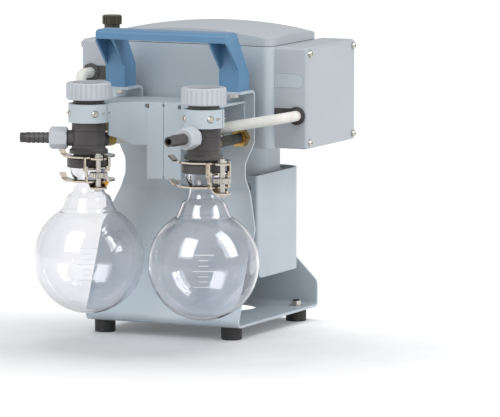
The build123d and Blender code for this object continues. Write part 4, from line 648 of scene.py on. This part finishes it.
def floor_paint():
    """Matt white paint that fades into plain white light with distance from the pump."""
    material, tree, shader, coords = start("matt_floor_paint", Roughness=0.8, Specular_IOR_Level=0.0)
    paper = noise(tree, coords, 40.0, 2.0)
    tint(tree, shader, paper, linear("#F2F2F3"), linear("#F6F6F7"))
    path = node(tree, "ShaderNodeLightPath").outputs
    seen = highest(tree, path["Is Glossy Ray"], path["Is Transmission Ray"], path["Is Camera Ray"])
    away = node(tree, "ShaderNodeVectorMath", None, {0: coords}, operation="LENGTH")
    fade = node(
        tree,
        "ShaderNodeMapRange",
        {"From Min": 0.2, "From Max": 0.5, "To Min": 0.1, "To Max": 1.0},
        {"Value": away.outputs["Value"]},
        interpolation_type="SMOOTHSTEP",
    )
    links = {0: seen, 1: fade.outputs["Result"]}
    share = node(tree, "ShaderNodeMath", None, links, operation="MULTIPLY")
    white = node(tree, "ShaderNodeEmission", {"Color": WHITE, "Strength": 1.12})
    blended(tree, share.outputs[0], shader.outputs["BSDF"], white.outputs["Emission"])
    return material


def world_light(scene):
    """White to the camera and through glass, and a softer fill on the pump."""
    world = bpy.data.worlds.new("studio_world")
    world.use_nodes = True
    tree = world.node_tree
    tree.nodes.clear()
    path = node(tree, "ShaderNodeLightPath").outputs
    seen = highest(tree, path["Is Transmission Ray"], path["Is Camera Ray"])
    fill = node(tree, "ShaderNodeBackground", {"Color": (0.98, 0.99, 1.0, 1), "Strength": 0.55})
    white = node(tree, "ShaderNodeBackground", {"Color": WHITE, "Strength": 1.0})
    links = {"Fac": seen, 1: fill.outputs["Background"], 2: white.outputs["Background"]}
    blend = node(tree, "ShaderNodeMixShader", None, links)
    node(tree, "ShaderNodeOutputWorld", None, {"Surface": blend.outputs["Shader"]})
    scene.world = world


def only(light, group, things):
    """Lets a light reach only these things."""
    reached = bpy.data.collections.get(group) or bpy.data.collections.new(group)
    for thing in things:
        if thing.name not in reached.objects:
            reached.objects.link(thing)
    light.light_linking.receiver_collection = reached


def lamp(name, azimuth, elevation, distance, size, watts):
    """Soft rectangular lamp, turned to the right of the front and raised by angles in degrees."""
    a, e = math.radians(azimuth), math.radians(elevation)
    way = Vector((math.sin(a) * math.cos(e), -math.cos(a) * math.cos(e), math.sin(e)))
    data = bpy.data.lights.new(name, "AREA")
    data.shape = "RECTANGLE"
    data.size, data.size_y = size
    data.energy = watts
    made = bpy.data.objects.new(name, data)
    made.location = Vector(LAMP_TARGET) + way * distance
    made.rotation_euler = (-way).to_track_quat("-Z", "Y").to_euler()
    bpy.context.scene.collection.objects.link(made)
    return made


def card(name, azimuth, elevation, distance, size, watts):
    """Bright card that only the glass mirrors, and that sends no light through it onto other pieces."""
    made = lamp(name, azimuth, elevation, distance, size, watts)
    made.data.use_nodes = True
    tree = made.data.node_tree
    tree.nodes.clear()
    path = node(tree, "ShaderNodeLightPath")
    links = {0: path.outputs["Diffuse Depth"]}
    mirrored = node(tree, "ShaderNodeMath", {1: 0.5}, links, operation="LESS_THAN")
    glow = node(tree, "ShaderNodeEmission", None, {"Strength": mirrored.outputs[0]})
    node(tree, "ShaderNodeOutputLight", None, {"Surface": glow.outputs["Emission"]})
    made.visible_diffuse = False
    only(made, "glassware", [bpy.data.objects["flask_" + side + "_glass"] for side in SIDES])


def camera(scene, stage):
    """Long lens, a little right of the front and a little above."""
    a, e = stage.azimuth, stage.elevation
    way = Vector((-math.sin(a) * math.cos(e), math.cos(a) * math.cos(e), -math.sin(e)))
    data = bpy.data.cameras.new("camera")
    data.lens = stage.lens
    data.sensor_width = 36.0
    data.clip_end = 30.0
    made = bpy.data.objects.new("camera", data)
    made.location = Vector(CAMERA_AIM) - way * stage.distance
    turn = way.to_track_quat("-Z", "Y").to_matrix() @ Matrix.Rotation(math.radians(CAMERA_ROLL), 3, "Z")
    made.rotation_euler = turn.to_euler()
    scene.collection.objects.link(made)
    scene.camera = made


class PUMP_PT_panel(bpy.types.Panel):
    """Lists the pump's operators and settings"""

    bl_idname = "PUMP_PT_panel"
    bl_label = "Vacuum Pump"
    bl_space_type = "VIEW_3D"
    bl_region_type = "UI"
    bl_category = "Pump"

    def draw(self, context):
        for name in OPERATORS:
            self.layout.operator(name)
        for group in (context.scene.pump_colours, context.scene.pump_stage):
            box = self.layout.box()
            for key in group.__annotations__:
                box.prop(group, key)


OPERATORS = ("pump.finishes", "pump.flasks", "pump.marks", "pump.tag", "pump.stage")
CLASSES = (
    PumpColours,
    PumpStage,
    PUMP_OT_finishes,
    PUMP_OT_flasks,
    PUMP_OT_marks,
    PUMP_OT_tag,
    PUMP_OT_stage,
    PUMP_PT_panel,
)


def register():
    for cls in CLASSES:
        bpy.utils.register_class(cls)
    bpy.types.Scene.pump_colours = PointerProperty(type=PumpColours)
    bpy.types.Scene.pump_stage = PointerProperty(type=PumpStage)


def unregister():
    del bpy.types.Scene.pump_stage
    del bpy.types.Scene.pump_colours
    for cls in reversed(CLASSES):
        bpy.utils.unregister_class(cls)


def main():
    """Builds the whole scene in order."""
    register()
    bpy.ops.pump.finishes()
    bpy.ops.pump.flasks()
    bpy.ops.pump.marks()
    bpy.ops.pump.tag()
    bpy.ops.pump.stage()


if __name__ == "__main__":
    main()
